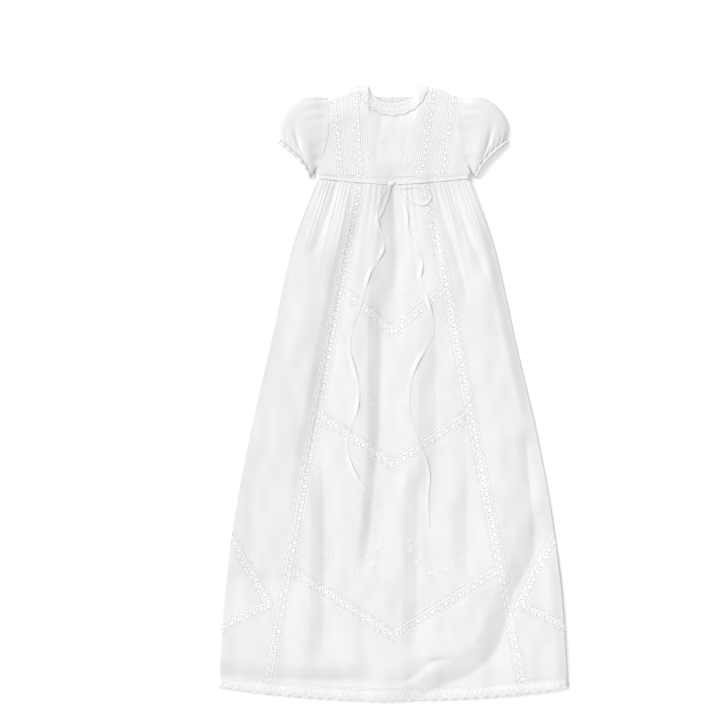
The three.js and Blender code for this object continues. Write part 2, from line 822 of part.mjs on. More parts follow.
// A flattened ring that stands on the surface: the dome of its upper half, then its flat floor.
function ringPoint(k, section, sign, inset, lift) {
  const onTop = k <= TUBE_TOP_STEPS;
  const step = onTop ? k / TUBE_TOP_STEPS : 1 - (k - TUBE_TOP_STEPS) / TUBE_FLOOR_STEPS;
  const turn = Math.PI * step;
  const span = Math.hypot(section.underX - section.capX, section.underY - section.capY);
  const share = lerp(inset / span, 1 - inset / span, (1 - Math.cos(turn)) / 2);
  const hollow = section.hollow * 4 * share * (1 - share);
  const gathered = 1 + section.gather * Math.cos(2 * Math.PI * SLEEVE_GATHERS * share);
  const dome = Math.sin(turn) ** SLEEVE_ROUNDNESS * gathered;
  const x = lerp(section.capX, section.underX, share) - hollow;
  const y = lerp(section.capY, section.underY, share);
  const height = onTop ? (section.height - 2 * lift) * Math.max(dome, 0) : 0;
  return [sign * (x + section.shiftX), y + section.shiftY, lift + height];
}

function sleeveSection(along) {
  const read = (column) => readTable(SLEEVE_SECTIONS, "along", column, along);
  const columns = ["capX", "capY", "underX", "underY", "hollow", "height"];
  const section = Object.fromEntries(columns.map((column) => [column, read(column)]));
  const atEnds = (2 * along - 1) ** 2;
  return { ...section, gather: SLEEVE_GATHER_SHARE * atEnds, shiftX: 0, shiftY: 0 };
}

function addSleeves() {
  const around = TUBE_TOP_STEPS + TUBE_FLOOR_STEPS;
  const end = sleeveSection(1);
  const span = Math.hypot(end.underX - end.capX, end.underY - end.capY);
  const outward = [(end.capY - end.underY) / span, (end.underX - end.capX) / span];
  for (const { name, sign } of sides) {
    const ring = (section, k) => {
      const turned = sign > 0 ? k : (around - k) % around;
      const at = (inset, lift) => ringPoint(turned, section, sign, inset, lift);
      return [at(0, 0), at(CLOTH, CLOTH)];
    };
    const sleeve = tubeGeometry(around, 8, (k, v) => ring(sleeveSection(v), k));
    addPiece("sleeve_" + name, sleeve, lawn);
    const cuff = tubeGeometry(around, 1, (k, v) => {
      const reach = lerp(SEAM, CUFF_WIDTH, v);
      return ring({ ...end, shiftX: reach * outward[0], shiftY: reach * outward[1] }, k);
    });
    addPiece("cuff_" + name, cuff, lawn);
  }
}

// Ribbon

// A ribbon along a line of [x, y, z, side] points, where side is the unit vector across it.
function ribbonGeometry(line) {
  return wallGeometry(2, line.length - 1, (u, v) => {
    const { x, y, z, side } = line[Math.round(v * (line.length - 1))];
    const across = (u - 0.5) * RIBBON;
    const place = [x + across * side[0], y + across * side[1]];
    const low = z === null ? ribbonRest(...place) : z;
    return [[...place, low], [...place, low + RIBBON_WALL]];
  });
}

// A line with its sides, from a smooth curve seen from above. It lies on the front of the gown.
function lyingLine(curve, steps) {
  const line = [];
  for (let i = 0; i <= steps; i++) {
    const point = curve.getPointAt(i / steps);
    const ahead = curve.getTangentAt(i / steps);
    line.push({ x: point.x, y: point.y, z: null, side: [ahead.y, -ahead.x] });
  }
  return line;
}

function addTail(name, route) {
  const curve = new THREE.CatmullRomCurve3(route.map(([x, y]) => new THREE.Vector3(x, y, 0)));
  const steps = Math.round(curve.getLength() / TAIL_STEP);
  addPiece("ribbon_tail_" + name, ribbonGeometry(lyingLine(curve, steps)), satin);
}

// The sash lies on the waistband, droops a little towards the middle and ends under the knot.
function addSash() {
  for (const { name, sign } of sides) {
    const farX = sign * (WAIST_HALF - SASH_INSET);
    const nearX = KNOT.x + sign * SEAM;
    const points = [0, 0.35, 0.7, 1].map((share) => {
      const x = lerp(farX, nearX, share);
      return new THREE.Vector3(x, waistY(x) - SASH_DROP * share * share, 0);
    });
    addPiece("ribbon_sash_" + name, ribbonGeometry(lyingLine(new THREE.CatmullRomCurve3(points), 16)), satin);
  }
}

const knotZ = ribbonRest(KNOT.x, KNOT.y) + RIBBON_WALL + SEAM + KNOT.halfZ;

function addKnot() {
  const geometry = new THREE.SphereGeometry(1, 14, 8);
  geometry.rotateX(Math.PI / 2);
  geometry.scale(KNOT.halfX, KNOT.halfY, KNOT.halfZ);
  geometry.translate(KNOT.x, KNOT.y, knotZ);
  addPiece("bow_knot", geometry, satin);
}

// How far the knot reaches from its middle in a direction seen from above, at a rise from its middle.
function knotReach(ahead, rise) {
  const level = Math.sqrt(1 - (rise / KNOT.halfZ) ** 2);
  return level / Math.hypot(ahead[0] / KNOT.halfX, ahead[1] / KNOT.halfY);
}

// A bow loop: the ribbon runs out from the knot, turns over at the tip and comes back above itself.
function addBowLoops() {
  for (const loop of BOW_LOOPS) {
    const run = Math.hypot(loop.tipX - KNOT.x, loop.tipY - KNOT.y);
    const ahead = [(loop.tipX - KNOT.x) / run, (loop.tipY - KNOT.y) / run];
    const side = [ahead[1], -ahead[0]];
    const first = knotReach(ahead, LOOP_FOOT) + SEAM;
    const half = loop.height / 2;
    const under = [0.2, 0.4, 0.6, 0.8, 1].map((share) =>
      ribbonRest(lerp(KNOT.x, loop.tipX, share), lerp(KNOT.y, loop.tipY, share)),
    );
    const rest = Math.max(...under) + 2 * RIBBON_WALL + RIBBON_LIFT;
    const profile = new THREE.CatmullRomCurve3([
      new THREE.Vector3(first, 0, knotZ - LOOP_FOOT),
      new THREE.Vector3(run * 0.5, 0, rest),
      new THREE.Vector3(run - half, 0, rest),
      new THREE.Vector3(run, 0, rest + half),
      new THREE.Vector3(run - half, 0, rest + loop.height),
      new THREE.Vector3(run * 0.5, 0, rest + loop.height),
      new THREE.Vector3(first, 0, knotZ + LOOP_FOOT),
    ]);
    const steps = 16;
    const geometry = wallGeometry(1, steps, (u, v) => {
      const point = profile.getPointAt(v);
      const tangent = profile.getTangentAt(v);
      const across = (u - 0.5) * RIBBON;
      const at = (offset) => {
        const out = point.x - tangent.z * offset;
        const z = point.z + tangent.x * offset;
        return [
          KNOT.x + ahead[0] * out + side[0] * across,
          KNOT.y + ahead[1] * out + side[1] * across,
          z,
        ];
      };
      return [at(-RIBBON_WALL / 2), at(RIBBON_WALL / 2)];
    });
    addPiece("bow_loop_" + loop.name, geometry, satin);
  }
}

addBackSkirt();
addBackBodice();
addSkirtSides();
addSkirtStrips();
addSkirtCentre();
addHemLace();
addWaistband();
addFrontBodice();
addCollar();
addSleeves();
addSash();
addKnot();
addBowLoops();
addTail("left", LEFT_TAIL_ROUTE);
addTail("right", RIGHT_TAIL_ROUTE);

export default gown;
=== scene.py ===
"""A christening gown laid flat, front up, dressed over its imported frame.

The front of the gown is one height above the surface that it lies on, worked out from its gathers and
folds. Every panel, lace strip, stitch and ribbon is laid on that height. Lengths are in metres.
"""

from __future__ import annotations

import logging
from dataclasses import dataclass
from enum import Enum
from typing import Callable

import bpy
import numpy as np
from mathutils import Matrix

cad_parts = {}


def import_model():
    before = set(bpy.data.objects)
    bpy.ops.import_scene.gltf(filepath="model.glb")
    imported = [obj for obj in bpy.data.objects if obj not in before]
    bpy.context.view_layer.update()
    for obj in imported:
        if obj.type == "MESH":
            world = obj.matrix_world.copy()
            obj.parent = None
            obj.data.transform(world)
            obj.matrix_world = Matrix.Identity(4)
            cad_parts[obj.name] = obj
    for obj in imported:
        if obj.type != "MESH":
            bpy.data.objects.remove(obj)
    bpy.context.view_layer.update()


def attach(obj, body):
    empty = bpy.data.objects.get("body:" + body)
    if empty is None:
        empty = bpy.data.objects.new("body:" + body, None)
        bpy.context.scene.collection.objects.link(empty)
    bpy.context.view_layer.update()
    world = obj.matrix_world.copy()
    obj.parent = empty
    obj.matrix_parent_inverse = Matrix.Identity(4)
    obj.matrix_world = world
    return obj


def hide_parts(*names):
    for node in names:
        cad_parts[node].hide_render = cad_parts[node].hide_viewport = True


LOG = logging.getLogger("christening_gown")
BODY = "root"
MM = 0.001
TURN = 2.0 * np.pi

Array = np.ndarray
Place = tuple[Array, Array]
Edge = Callable[[Array], Array]
PlanFunction = Callable[[Array, Array], Place]
Region = Callable[[Array, Array], Array]
Across = Callable[[Array, Array], Array]
Piece = bpy.types.Object
Material = bpy.types.Material
Socket = bpy.types.NodeSocket


class Side(Enum):
    """The two sides of the gown, as someone looking down on it sees them."""

    LEFT = -1
    RIGHT = 1

    @property
    def word(self) -> str:
        """The side's name in a piece's name."""
        return self.name.lower()


class Hold(Enum):
    """How a sheet of cloth is held."""

    LAID = "laid"
    GATHERED = "gathered"
    SEWN = "sewn"


def ease(value: Array, low: float, high: float) -> Array:
    """Rise smoothly from 0 at low to 1 at high, level at both ends."""
    share = np.clip((value - low) / (high - low), 0.0, 1.0)
    return share * share * (3.0 - 2.0 * share)


def between(first: Array, last: Array, share: Array) -> Array:
    """Go straight from first to last by a share of the way."""
    return first + (last - first) * share


def smooth_table(stations: Array, values: Array, at: Array) -> Array:
    """Read a table along a smooth curve through its rows.

    Between two rows the curve is the cubic whose slope at each row is that from the row before it to
    the row after it.

    Args:
        stations: Where the rows stand, rising.
        values: The value in each row.
        at: Where to read.

    Returns:
        The values read.
    """
    slopes = np.empty(len(stations))
    slopes[1:-1] = (values[2:] - values[:-2]) / (stations[2:] - stations[:-2])
    slopes[0] = (values[1] - values[0]) / (stations[1] - stations[0])
    slopes[-1] = (values[-1] - values[-2]) / (stations[-1] - stations[-2])
    row = np.clip(np.searchsorted(stations, at, side="right") - 1, 0, len(stations) - 2)
    span = stations[row + 1] - stations[row]
    share = np.clip((at - stations[row]) / span, 0.0, 1.0)
    square = share * share
    cube = square * share
    return (
        (2 * cube - 3 * square + 1) * values[row]
        + (cube - 2 * square + share) * span * slopes[row]
        + (3 * square - 2 * cube) * values[row + 1]
        + (cube - square) * span * slopes[row + 1]
    )


def smooth_route(points: Array, count: int) -> Array:
    """Carry a smooth curve through given points.

    The curve is read from a table by the straight distance along the points, then spaced evenly.

    Args:
        points: The points, one in a row.
        count: How many points the curve gets.

    Returns:
        The curve's points, evenly spaced.
    """
    steps = np.linalg.norm(np.diff(points, axis=0), axis=1)
    stations = np.concatenate([[0.0], np.cumsum(steps)])
    fine = np.linspace(0.0, stations[-1], 8 * count)
    dense = np.stack([smooth_table(stations, column, fine) for column in points.T], axis=1)
    run = np.concatenate([[0.0], np.cumsum(np.linalg.norm(np.diff(dense, axis=0), axis=1))])
    even = np.linspace(0.0, run[-1], count)
    return np.stack([np.interp(even, run, column) for column in dense.T], axis=1)


def lengthwise(points: Array) -> Array:
    """Distance along a line of points, from its first point."""
    return np.concatenate([[0.0], np.cumsum(np.linalg.norm(np.diff(points, axis=0), axis=1))])


def headings(points: Array) -> Array:
    """Unit vectors along a line of points."""
    ahead = np.gradient(points, axis=0)
    return ahead / np.linalg.norm(ahead, axis=-1, keepdims=True)


def asides(ahead: Array) -> Array:
    """Level vectors to the right of headings, each as long as its heading seen from above."""
    return np.stack([ahead[:, 1], -ahead[:, 0], np.zeros(len(ahead))], axis=1)


def shares(columns: int, rows: int) -> Place:
    """Two grids of shares from 0 to 1: the first rises along each row, the second from row to row."""
    u, v = np.meshgrid(np.linspace(0, 1, columns + 1), np.linspace(0, 1, rows + 1))
    return u, v


@dataclass(frozen=True)
class Chevron:
    """A lace chevron of the centre panel: its tip and how far its ends rise above it."""

    word: str
    tip: float
    rise: float

    def line(self, n: Array) -> Array:
        """Its middle line: a V, by the place across from -1 to 1."""
        return self.tip + self.rise * np.abs(n)


@dataclass(frozen=True)
class GownPlan:
    """The gown seen from above: its outline, its seams and the lines of its lace."""

    neck_y: float = 0.430
    neck_half: float = 0.034
    front_neck_depth: float = 0.025
    back_neck_depth: float = 0.015
    shoulder_start: float = 0.052
    shoulder_x: float = 0.094
    shoulder_y: float = 0.414
    underarm_x: float = 0.108
    underarm_y: float = 0.308
    armhole_hollow: float = 0.010
    waist_y: float = 0.296
    waist_rise: float = 0.006
    waist_half: float = 0.107
    band_half: float = 0.005
    hem_y: float = -0.430
    hem_half: float = 0.246
    hem_rise: float = 0.018
    hem_lace: float = 0.017
    seam: float = 0.0003
    lace: float = 0.015
    bodice_lace: float = 0.012
    back_inset: float = 0.013
    outline_down: tuple[float, ...] = (0, 0.027, 0.083, 0.139, 0.223, 0.335, 0.447, 0.559, 0.671, 0.730)
    outline_half: tuple[float, ...] = (
        0.108, 0.119, 0.140, 0.154, 0.172, 0.198, 0.220, 0.236, 0.244, 0.246,
    )
    strip_waist: tuple[float, float] = (0.047, 0.045)
    strip_hem: tuple[float, float] = (0.179, 0.186)
    bodice_left: tuple[tuple[float, float], ...] = ((0.046, 0.053), (0.0715, 0.0855))
    bodice_right: tuple[tuple[float, float], ...] = ((0.037, 0.058), (0.0665, 0.085))
    chevrons: tuple[Chevron, ...] = (
        Chevron("upper", 0.085, 0.056),
        Chevron("middle", -0.100, 0.067),
        Chevron("lower", -0.338, 0.089),
    )
    diamond_corner: float = -0.298
    diamond_upper: float = -0.186
    diamond_lower: float = -0.335
    upper_arm_rise: float = 0.027
    lower_arm_rise: float = 0.016

    def waist(self, x: Array) -> Array:
        """Middle of the waistband."""
        return self.waist_y + self.waist_rise * (x / self.waist_half) ** 2

    def skirt_top(self, x: Array) -> Array:
        """Upper edge of the skirt, under the waistband."""
        return self.waist(x) - self.band_half - self.seam

    def bodice_foot(self, x: Array) -> Array:
        """Lower edge of the bodice, above the waistband."""
        return self.waist(x) + self.band_half + self.seam

    def hem_edge(self, x: Array) -> Array:
        """Outer edge of the hem's lace."""
        return self.hem_y + self.hem_rise * (x / self.hem_half) ** 2

    def hem_seam(self, x: Array) -> Array:
        """Seam between the skirt and the hem's lace."""
        return self.hem_edge(x) + self.hem_lace + self.seam

    def skirt_half(self, y: Array) -> Array:
        """Half width of the skirt."""
        return smooth_table(np.array(self.outline_down), np.array(self.outline_half), self.waist_y - y)

    def strip(self, y: Array, sign: Array) -> Array:
        """How far out the middle of a long lace strip lies, left where sign is negative.

        Args:
            y: Distance up the gown, towards the neck.
            sign: The side.

        Returns:
            The distance from the middle.
        """
        share = (self.waist_y - y) / (self.waist_y - self.hem_y)
        left = between(self.strip_waist[0], self.strip_hem[0], share)
        right = between(self.strip_waist[1], self.strip_hem[1], share)
        return np.where(np.asarray(sign) < 0, left, right)

    def centre_half(self, y: Array, sign: Array) -> Array:
        """Half width of the centre panel on one side."""
        return self.strip(y, sign) - 0.5 * self.lace - 0.5 * self.seam

    def side_start(self, y: Array, sign: Array) -> Array:
        """Inner edge of a side panel."""
        return self.strip(y, sign) + 0.5 * self.lace + 0.5 * self.seam

    def side_share(self, x: Array, y: Array) -> Array:
        """Share of the way across a side panel, from its strip to the outline."""
        start = self.side_start(y, x)
        return (np.abs(x) - start) / (self.skirt_half(y) - start)

    def bodice_top(self, x: Array) -> Array:
        """Upper edge of the front bodice: the round of the neck, a level part, then the shoulder.

        Args:
            x: Distance to the right of the middle.

        Returns:
            The height of the edge in the plan.
        """
        out = np.abs(x)
        neck = self.front_neck_depth * np.sqrt(np.clip(1.0 - (out / self.neck_half) ** 2, 0.0, 1.0))
        share = np.clip((out - self.shoulder_start) / (self.shoulder_x - self.shoulder_start), 0.0, 1.0)
        shoulder = between(self.neck_y, self.shoulder_y, share)
        return np.where(out < self.neck_half, self.neck_y - neck, shoulder)

    def armhole(self, y: Array) -> Array:
        """The armhole's seam: a straight line from shoulder to underarm, hollowed like a parabola."""
        share = np.clip((self.shoulder_y - y) / (self.shoulder_y - self.underarm_y), 0.0, 1.0)
        straight = between(self.shoulder_x, self.underarm_x, share)
        return straight - self.armhole_hollow * 4.0 * share * (1.0 - share)

    def bodice_strip(self, number: int, y: Array, sign: Array) -> Array:
        """How far out the middle of a bodice lace strip lies: 0 is the inner strip and 1 the outer.

        Args:
            number: Which strip it is.
            y: Distance up the gown, towards the neck.
            sign: The side.

        Returns:
            The distance from the middle.
        """
        share = (y - self.waist_y) / (self.neck_y - self.waist_y)
        left = between(*self.bodice_left[number], share)
        right = between(*self.bodice_right[number], share)
        return np.where(np.asarray(sign) < 0, left, right)

    def bodice_edges(self, y: Array, sign: Array) -> list[Array]:
        """Edges of the front bodice's panels on one side, from the middle out."""
        inner, outer = (self.bodice_strip(number, y, sign) for number in (0, 1))
        half = 0.5 * self.bodice_lace
        return [inner - half, inner + half, outer - half, outer + half, self.armhole(y)]

    def mitre_end(self) -> float:
        """Share across the side panel where the two arms of a lace diamond meet on their inner side."""
        return (self.upper_arm_rise + self.lower_arm_rise) / (self.diamond_upper - self.diamond_lower)

    def upper_arm(self, share: Array) -> Array:
        """Outer edge of a diamond's upper arm."""
        return between(self.diamond_corner, self.diamond_upper, share)

    def lower_arm(self, share: Array) -> Array:
        """Outer edge of a diamond's lower arm."""
        return between(self.diamond_corner, self.diamond_lower, share)

    def mitre(self, share: Array) -> Array:
        """The mitre between a diamond's arms, carried on straight past its ends."""
        inner = self.upper_arm(self.mitre_end()) - self.upper_arm_rise
        return between(self.diamond_corner, inner, share / self.mitre_end())

    def centre_part(self, low: Edge, high: Edge) -> PlanFunction:
        """Where a part of the skirt's centre lies, between two edges.

        Args:
            low: Its lower edge, by the place across from -1 to 1.
            high: Its upper edge, by the same.

        Returns:
            Its place seen from above, from two shares from 0 to 1.
        """

        def place(u: Array, v: Array) -> Place:
            """Go across by n, from -1 to 1, and up from the lower edge."""
            n = 2.0 * u - 1.0
            y = between(low(n), high(n), v)
            return n * self.centre_half(y, n), y

        return place

    def side_part(self, side: Side, low: Edge, high: Edge, first: float = 0.0) -> PlanFunction:
        """Where a part of the skirt's side lies, between two edges.

        Args:
            side: The side.
            low: Its lower edge, by the share across from the strip to the outline.
            high: Its upper edge, by the same.
            first: The share across at which it starts.

        Returns:
            Its place seen from above, from two shares from 0 to 1.
        """
        sign = side.value

        def place(u: Array, v: Array) -> Place:
            """Go out from the strip and up from the lower edge."""
            share = between(first, 1.0, u if sign > 0 else 1.0 - u)
            y = between(low(share), high(share), v)
            return sign * between(self.side_start(y, sign), self.skirt_half(y), share), y

        return place

    def bodice_part(self, across: Across, top: float) -> PlanFunction:
        """Where a part of the front bodice lies, from its foot to its top.

        Args:
            across: Gives its place across from a height and the share of the way across.
            top: The height at which its upper corners are read.

        Returns:
            Its place seen from above, from two shares from 0 to 1.
        """

        def place(u: Array, v: Array) -> Place:
            """Go across the part and up from the waist."""
            low = self.bodice_foot(across(np.array(self.waist_y), u))
            y = between(low, self.bodice_top(across(np.array(top), u)), v)
            return across(y, u), y

        return place


class Run(Enum):
    """Which way a fold runs: down the gown or across it."""

    DOWN = "down"
    ACROSS = "across"


@dataclass(frozen=True)
class Fold:
    """A fold of the front: a ridge where its height is positive, a trough where it is negative.

    Its line is a smooth curve through points in millimetres. On each side it dies away by its own
    length, as an exponential whose crest is rounded, and it fades over a fifth of its run at both ends.
    Where it runs across, its left is the side towards the hem.
    """

    line: tuple[tuple[float, float], ...]
    left: float
    right: float
    height: float
    crest: float = 2.0
    run: Run = Run.DOWN

    def rise(self, x: Array, y: Array) -> Array:
        """Height of the fold at points seen from above.

        The line is read at even steps, with its slope. A point's distance from it is the offset from the
        line at the same step, shortened by the slope.

        Args:
            x: Places from left to right.
            y: Places from hem to neck.

        Returns:
            The heights, in metres.
        """
        points = np.array(self.line) * MM
        step, offset = (x, y) if self.run is Run.ACROSS else (-y, x)
        steps, offsets = points.T if self.run is Run.ACROSS else (-points[:, 1], points[:, 0])
        fine = np.linspace(steps[0], steps[-1], 160)
        curve = smooth_table(steps, offsets, fine)
        total = np.zeros_like(x)
        near = (step > fine[0]) & (step < fine[-1])
        at = step[near]
        across = offset[near] - np.interp(at, fine, curve)
        across = across / np.hypot(1.0, np.interp(at, fine, np.gradient(curve, fine)))
        share = (at - fine[0]) / (fine[-1] - fine[0])
        fade = ease(share, 0.0, 0.2) * (1.0 - ease(share, 0.8, 1.0))
        crest = self.crest * MM
        length = np.where(across < 0.0, self.left, self.right) * MM
        total[near] = self.height * MM * fade * np.exp((crest - np.hypot(across, crest)) / length)
        return total


@dataclass(frozen=True)
class Ripple:
    """A faint even wave in the cloth: its length, the way it faces, its height and its start."""

    length: float
    facing: float
    height: float
    start: float


@dataclass(frozen=True)
class FrontSurface:
    """Height of the front of the gown above the surface that it lies on."""

    plan: GownPlan
    cloth: float = 0.5 * MM
    rest: float = 1.5 * MM
    loft: float = 6.5 * MM
    edge_roll: float = 1.6 * MM
    right_roll: float = 19 * MM
    right_fall: float = 0.62
    shoulder_roll: float = 16 * MM
    neck_roll: float = 40 * MM
    soft_floor: float = 0.9 * MM
    centre_gathers: int = 8
    side_gathers: int = 9
    gather_height: float = 0.50 * MM
    gather_reach: float = 70 * MM
    gather_drift: float = 0.03
    ripple_sway: float = 1.4
    ripple_sway_length: float = 4.3
    shoulder_over: float = -2 * MM
    fine_height: float = 0.18 * MM
    fine_reach: float = 30 * MM
    low_fall: float = 0.45
    fall_rise: tuple[float, float] = (-0.060, 0.020)
    fall_end: tuple[float, float] = (0.200, 0.270)
    neck_share: float = 0.5
    neck_blend: tuple[float, float] = (-12 * MM, 3 * MM)
    folds: tuple[Fold, ...] = (
        Fold(
            (
                (-61, 300), (-70, 243), (-88, 168), (-99, 111), (-109, 65), (-116, 24), (-127, -33),
                (-138, -91), (-144, -150),
            ),
            140, 18, 2.7,
        ),
        Fold(
            (
                (-42, 300), (-51, 243), (-68, 168), (-79, 111), (-90, 65), (-95, 24), (-105, -33),
                (-116, -91), (-122, -150),
            ),
            20, 60, -5.6,
        ),
        Fold(((-10, 330), (-14, 282), (-22, 230), (-28, 190), (-36, 122), (-37, 60)), 60, 25, 3.6),
        Fold(((0, 330), (0, 282), (5, 212), (6, 190), (1, 138), (-5, 106), (-8, 60)), 25, 30, -6.3),
        Fold(((-36, 160), (-36, 60), (-37, -90), (-42, -140), (-48, -206), (-54, -270)), 60, 13, 2.8),
        Fold(((-17, 160), (-17, 60), (-20, -60), (-26, -120), (-34, -206), (-40, -270)), 16, 50, -4.8),
        Fold(((33, 150), (34, 70), (34, -91), (34, -150)), 60, 25, 2),
        Fold(((58, 150), (60, 82), (60, 0), (61, -91), (61, -150)), 25, 55, -4.3),
        Fold(((22, -90), (15, -148), (14, -250), (12, -315), (10, -370)), 55, 18, 1.6),
        Fold(((42, -90), (35, -148), (34, -250), (32, -315), (30, -370)), 19, 50, -3.4),
        Fold(((186, -40), (190, -114), (197, -180), (201, -240)), 11, 60, -3.2),
        Fold(
            (
                (166, -150), (170, -205), (160, -245), (146, -270), (136, -292), (128, -316),
                (116, -342), (95, -364), (70, -380), (40, -396), (0, -425), (-20, -480),
            ),
            60, 27, 2.2,
        ),
        Fold(
            (
                (197, -150), (201, -200), (194, -232), (181, -258), (167, -286), (158, -321),
                (145, -358), (122, -383), (98, -398), (62, -412), (20, -440), (0, -480),
            ),
            26, 40, -5,
        ),
        Fold(
            (
                (-320, -370), (-240, -373), (-181, -378), (-120, -380), (-63, -379), (-10, -376),
            ),
            20, 60, 2.2, run=Run.ACROSS,
        ),
        Fold(
            (
                (-320, -391), (-240, -394), (-181, -399), (-120, -401), (-63, -400), (-10, -397),
            ),
            40, 19, -4.7, run=Run.ACROSS,
        ),
        Fold(((-117, -70), (-116, -131), (-115, -250), (-116, -327), (-117, -390)), 40, 18, 1.7),
        Fold(((-98, -70), (-97, -131), (-96, -250), (-97, -327), (-98, -390)), 17, 45, -4.2),
        Fold(((98, 0), (102, -56), (104, -150), (104, -217), (104, -280)), 18, 40, -2.8),
        Fold(
            ((-420, -250), (-240, -257), (-204, -261), (-170, -263), (-90, -262)),
            70, 26, -4, 8, Run.ACROSS,
        ),
        Fold(
            (
                (-108, 310), (-140, 215), (-172, 75), (-198, -40), (-220, -150), (-238, -290),
            ),
            30, 60, 1.8,
        ),
        Fold(((-78, 305), (-80.6, 283), (-92, 250), (-103.6, 217), (-114, 185)), 8, 6, -1.3),
        Fold(((58, 305), (62, 280), (80, 218), (97, 158), (108, 115)), 7, 5, -1.5),
        Fold(((76, 305), (82, 280), (99, 236), (117, 193), (132, 150)), 7, 5, -1.4),
        Fold(((50, 305), (52, 287), (58, 240), (62, 193), (66, 150)), 6, 5, -1.2),
        Fold(((72, -366), (58, -373), (40, -385), (18, -406)), 8, 8, -1.5, 3),
        Fold(((-13, 402), (-16, 382), (-21, 358), (-23, 334), (-23, 314)), 9, 7, -1, 3),
        Fold(((26, 400), (22, 376), (17, 350), (14, 322)), 10, 10, -0.7, 3),
    )
    ripples: tuple[Ripple, ...] = (
        Ripple(0.061, 0.10, 0.00030, 0.3),
        Ripple(0.037, -0.16, 0.00016, 1.7),
        Ripple(0.023, 0.22, 0.00008, 4.1),
        Ripple(0.083, 1.20, 0.00016, 2.2),
    )

    def gathers(self, x: Array, y: Array) -> Array:
        """Gathers under the waist: round ridges parted by narrow creases, which fade downwards.

        Args:
            x: Distance to the right of the middle.
            y: Distance up the gown, towards the neck.

        Returns:
            The height that the gathers add.
        """
        plan = self.plan
        down = plan.skirt_top(x) - y
        out = np.abs(x)
        half = plan.centre_half(y, x)
        in_centre = out < half
        in_side = out > plan.side_start(y, x)
        share = np.where(in_centre, 0.5 * (x / half + 1.0), np.clip(plan.side_share(x, y), 0.0, 1.0))
        share = share + self.gather_drift * np.sin(TURN * share * 2.3 + np.where(x > 0, 1.1, 3.0))
        count = np.where(in_centre, self.centre_gathers, self.side_gathers)
        number = np.floor(share * count) + np.where(x > 0, count, 0)
        uneven = 0.5 + 0.5 * np.sin(2.4 * number + 0.7)
        also_uneven = 0.5 + 0.5 * np.sin(2.4 * number + 7.9)
        reach = self.gather_reach * (0.5 + uneven)
        height = self.gather_height * (0.6 + 0.4 * also_uneven) * np.exp(-((down / reach) ** 2))
        ridge = 0.5 - 0.5 * np.cos(TURN * share * count)
        fine = 0.5 - 0.5 * np.cos(TURN * share * count * 3.0)
        fine_height = self.fine_height * np.exp(-np.clip(down, 0.0, None) / self.fine_reach)
        shown = (in_centre | in_side) & (down > 0.0)
        return np.where(shown, height * ridge + fine_height * fine, 0.0)

    def ripple(self, x: Array, y: Array) -> Array:
        """Faint waves that keep the cloth from lying dead flat.

        Args:
            x: Distance to the right of the middle.
            y: Distance up the gown, towards the neck.

        Returns:
            The height that the waves add.
        """
        total = np.zeros_like(x)
        for wave in self.ripples:
            along = x * np.cos(wave.facing) + y * np.sin(wave.facing)
            across = y * np.cos(wave.facing) - x * np.sin(wave.facing)
            turns = across / (self.ripple_sway_length * wave.length)
            sway = self.ripple_sway * np.sin(TURN * turns + wave.start)
            total = total + wave.height * np.sin(TURN * along / wave.length + sway + wave.start)
        return total

    def edge_share(self, x: Array, y: Array) -> Array:
        """Share of the full height near the outline, where the front turns down to the surface.

        Args:
            x: Places from left to right.
            y: Places from hem to neck.

        Returns:
            The share, from 0 to 1.
        """
        plan = self.plan
        out = np.abs(x)
        inside = plan.skirt_half(y) - out
        reach = ease(y, *self.fall_rise)
        fall = (1.0 - ease(inside, 0.0, self.right_roll)) * np.where(x > 0.0, self.right_fall, 0.0)
        fall = fall * between(self.low_fall, 1.0, reach) * (1.0 - ease(y, *self.fall_end))
        skirt = ease(inside, 0.0, self.edge_roll) * (1.0 - fall)
        under_top = plan.bodice_top(x) - y
        over = ease(under_top, self.shoulder_over, self.shoulder_roll)
        neck = between(self.neck_share, 1.0, ease(under_top, 0.0, self.neck_roll))
        beyond = ease(out - plan.neck_half, *self.neck_blend)
        shoulder = between(neck, np.minimum(over, neck), beyond)
        return np.where(y > plan.waist(x) + plan.band_half, shoulder, skirt)

    def height(self, x: Array, y: Array) -> Array:
        """Upper face of the front cloth.

        Args:
            x: Distance to the right of the middle.
            y: Distance up the gown, towards the neck.

        Returns:
            Its height above the surface that the gown lies on.
        """
        raised = self.loft + self.gathers(x, y) + self.ripple(x, y)
        raised = raised + sum(fold.rise(x, y) for fold in self.folds)
        kept = 0.5 * (raised + np.hypot(raised, self.soft_floor))
        return self.edge_share(x, y) * (self.rest + kept) + self.cloth

    def lay(self, x: Array, y: Array, lift: Array) -> Array:
        """Points on the front, lifted off the cloth.

        Args:
            x: Places from left to right.
            y: Places from hem to neck.
            lift: Height above the cloth.

        Returns:
            The points, with their three numbers in the last axis.
        """
        return np.stack([x, y, self.height(x, y) + lift], axis=-1)


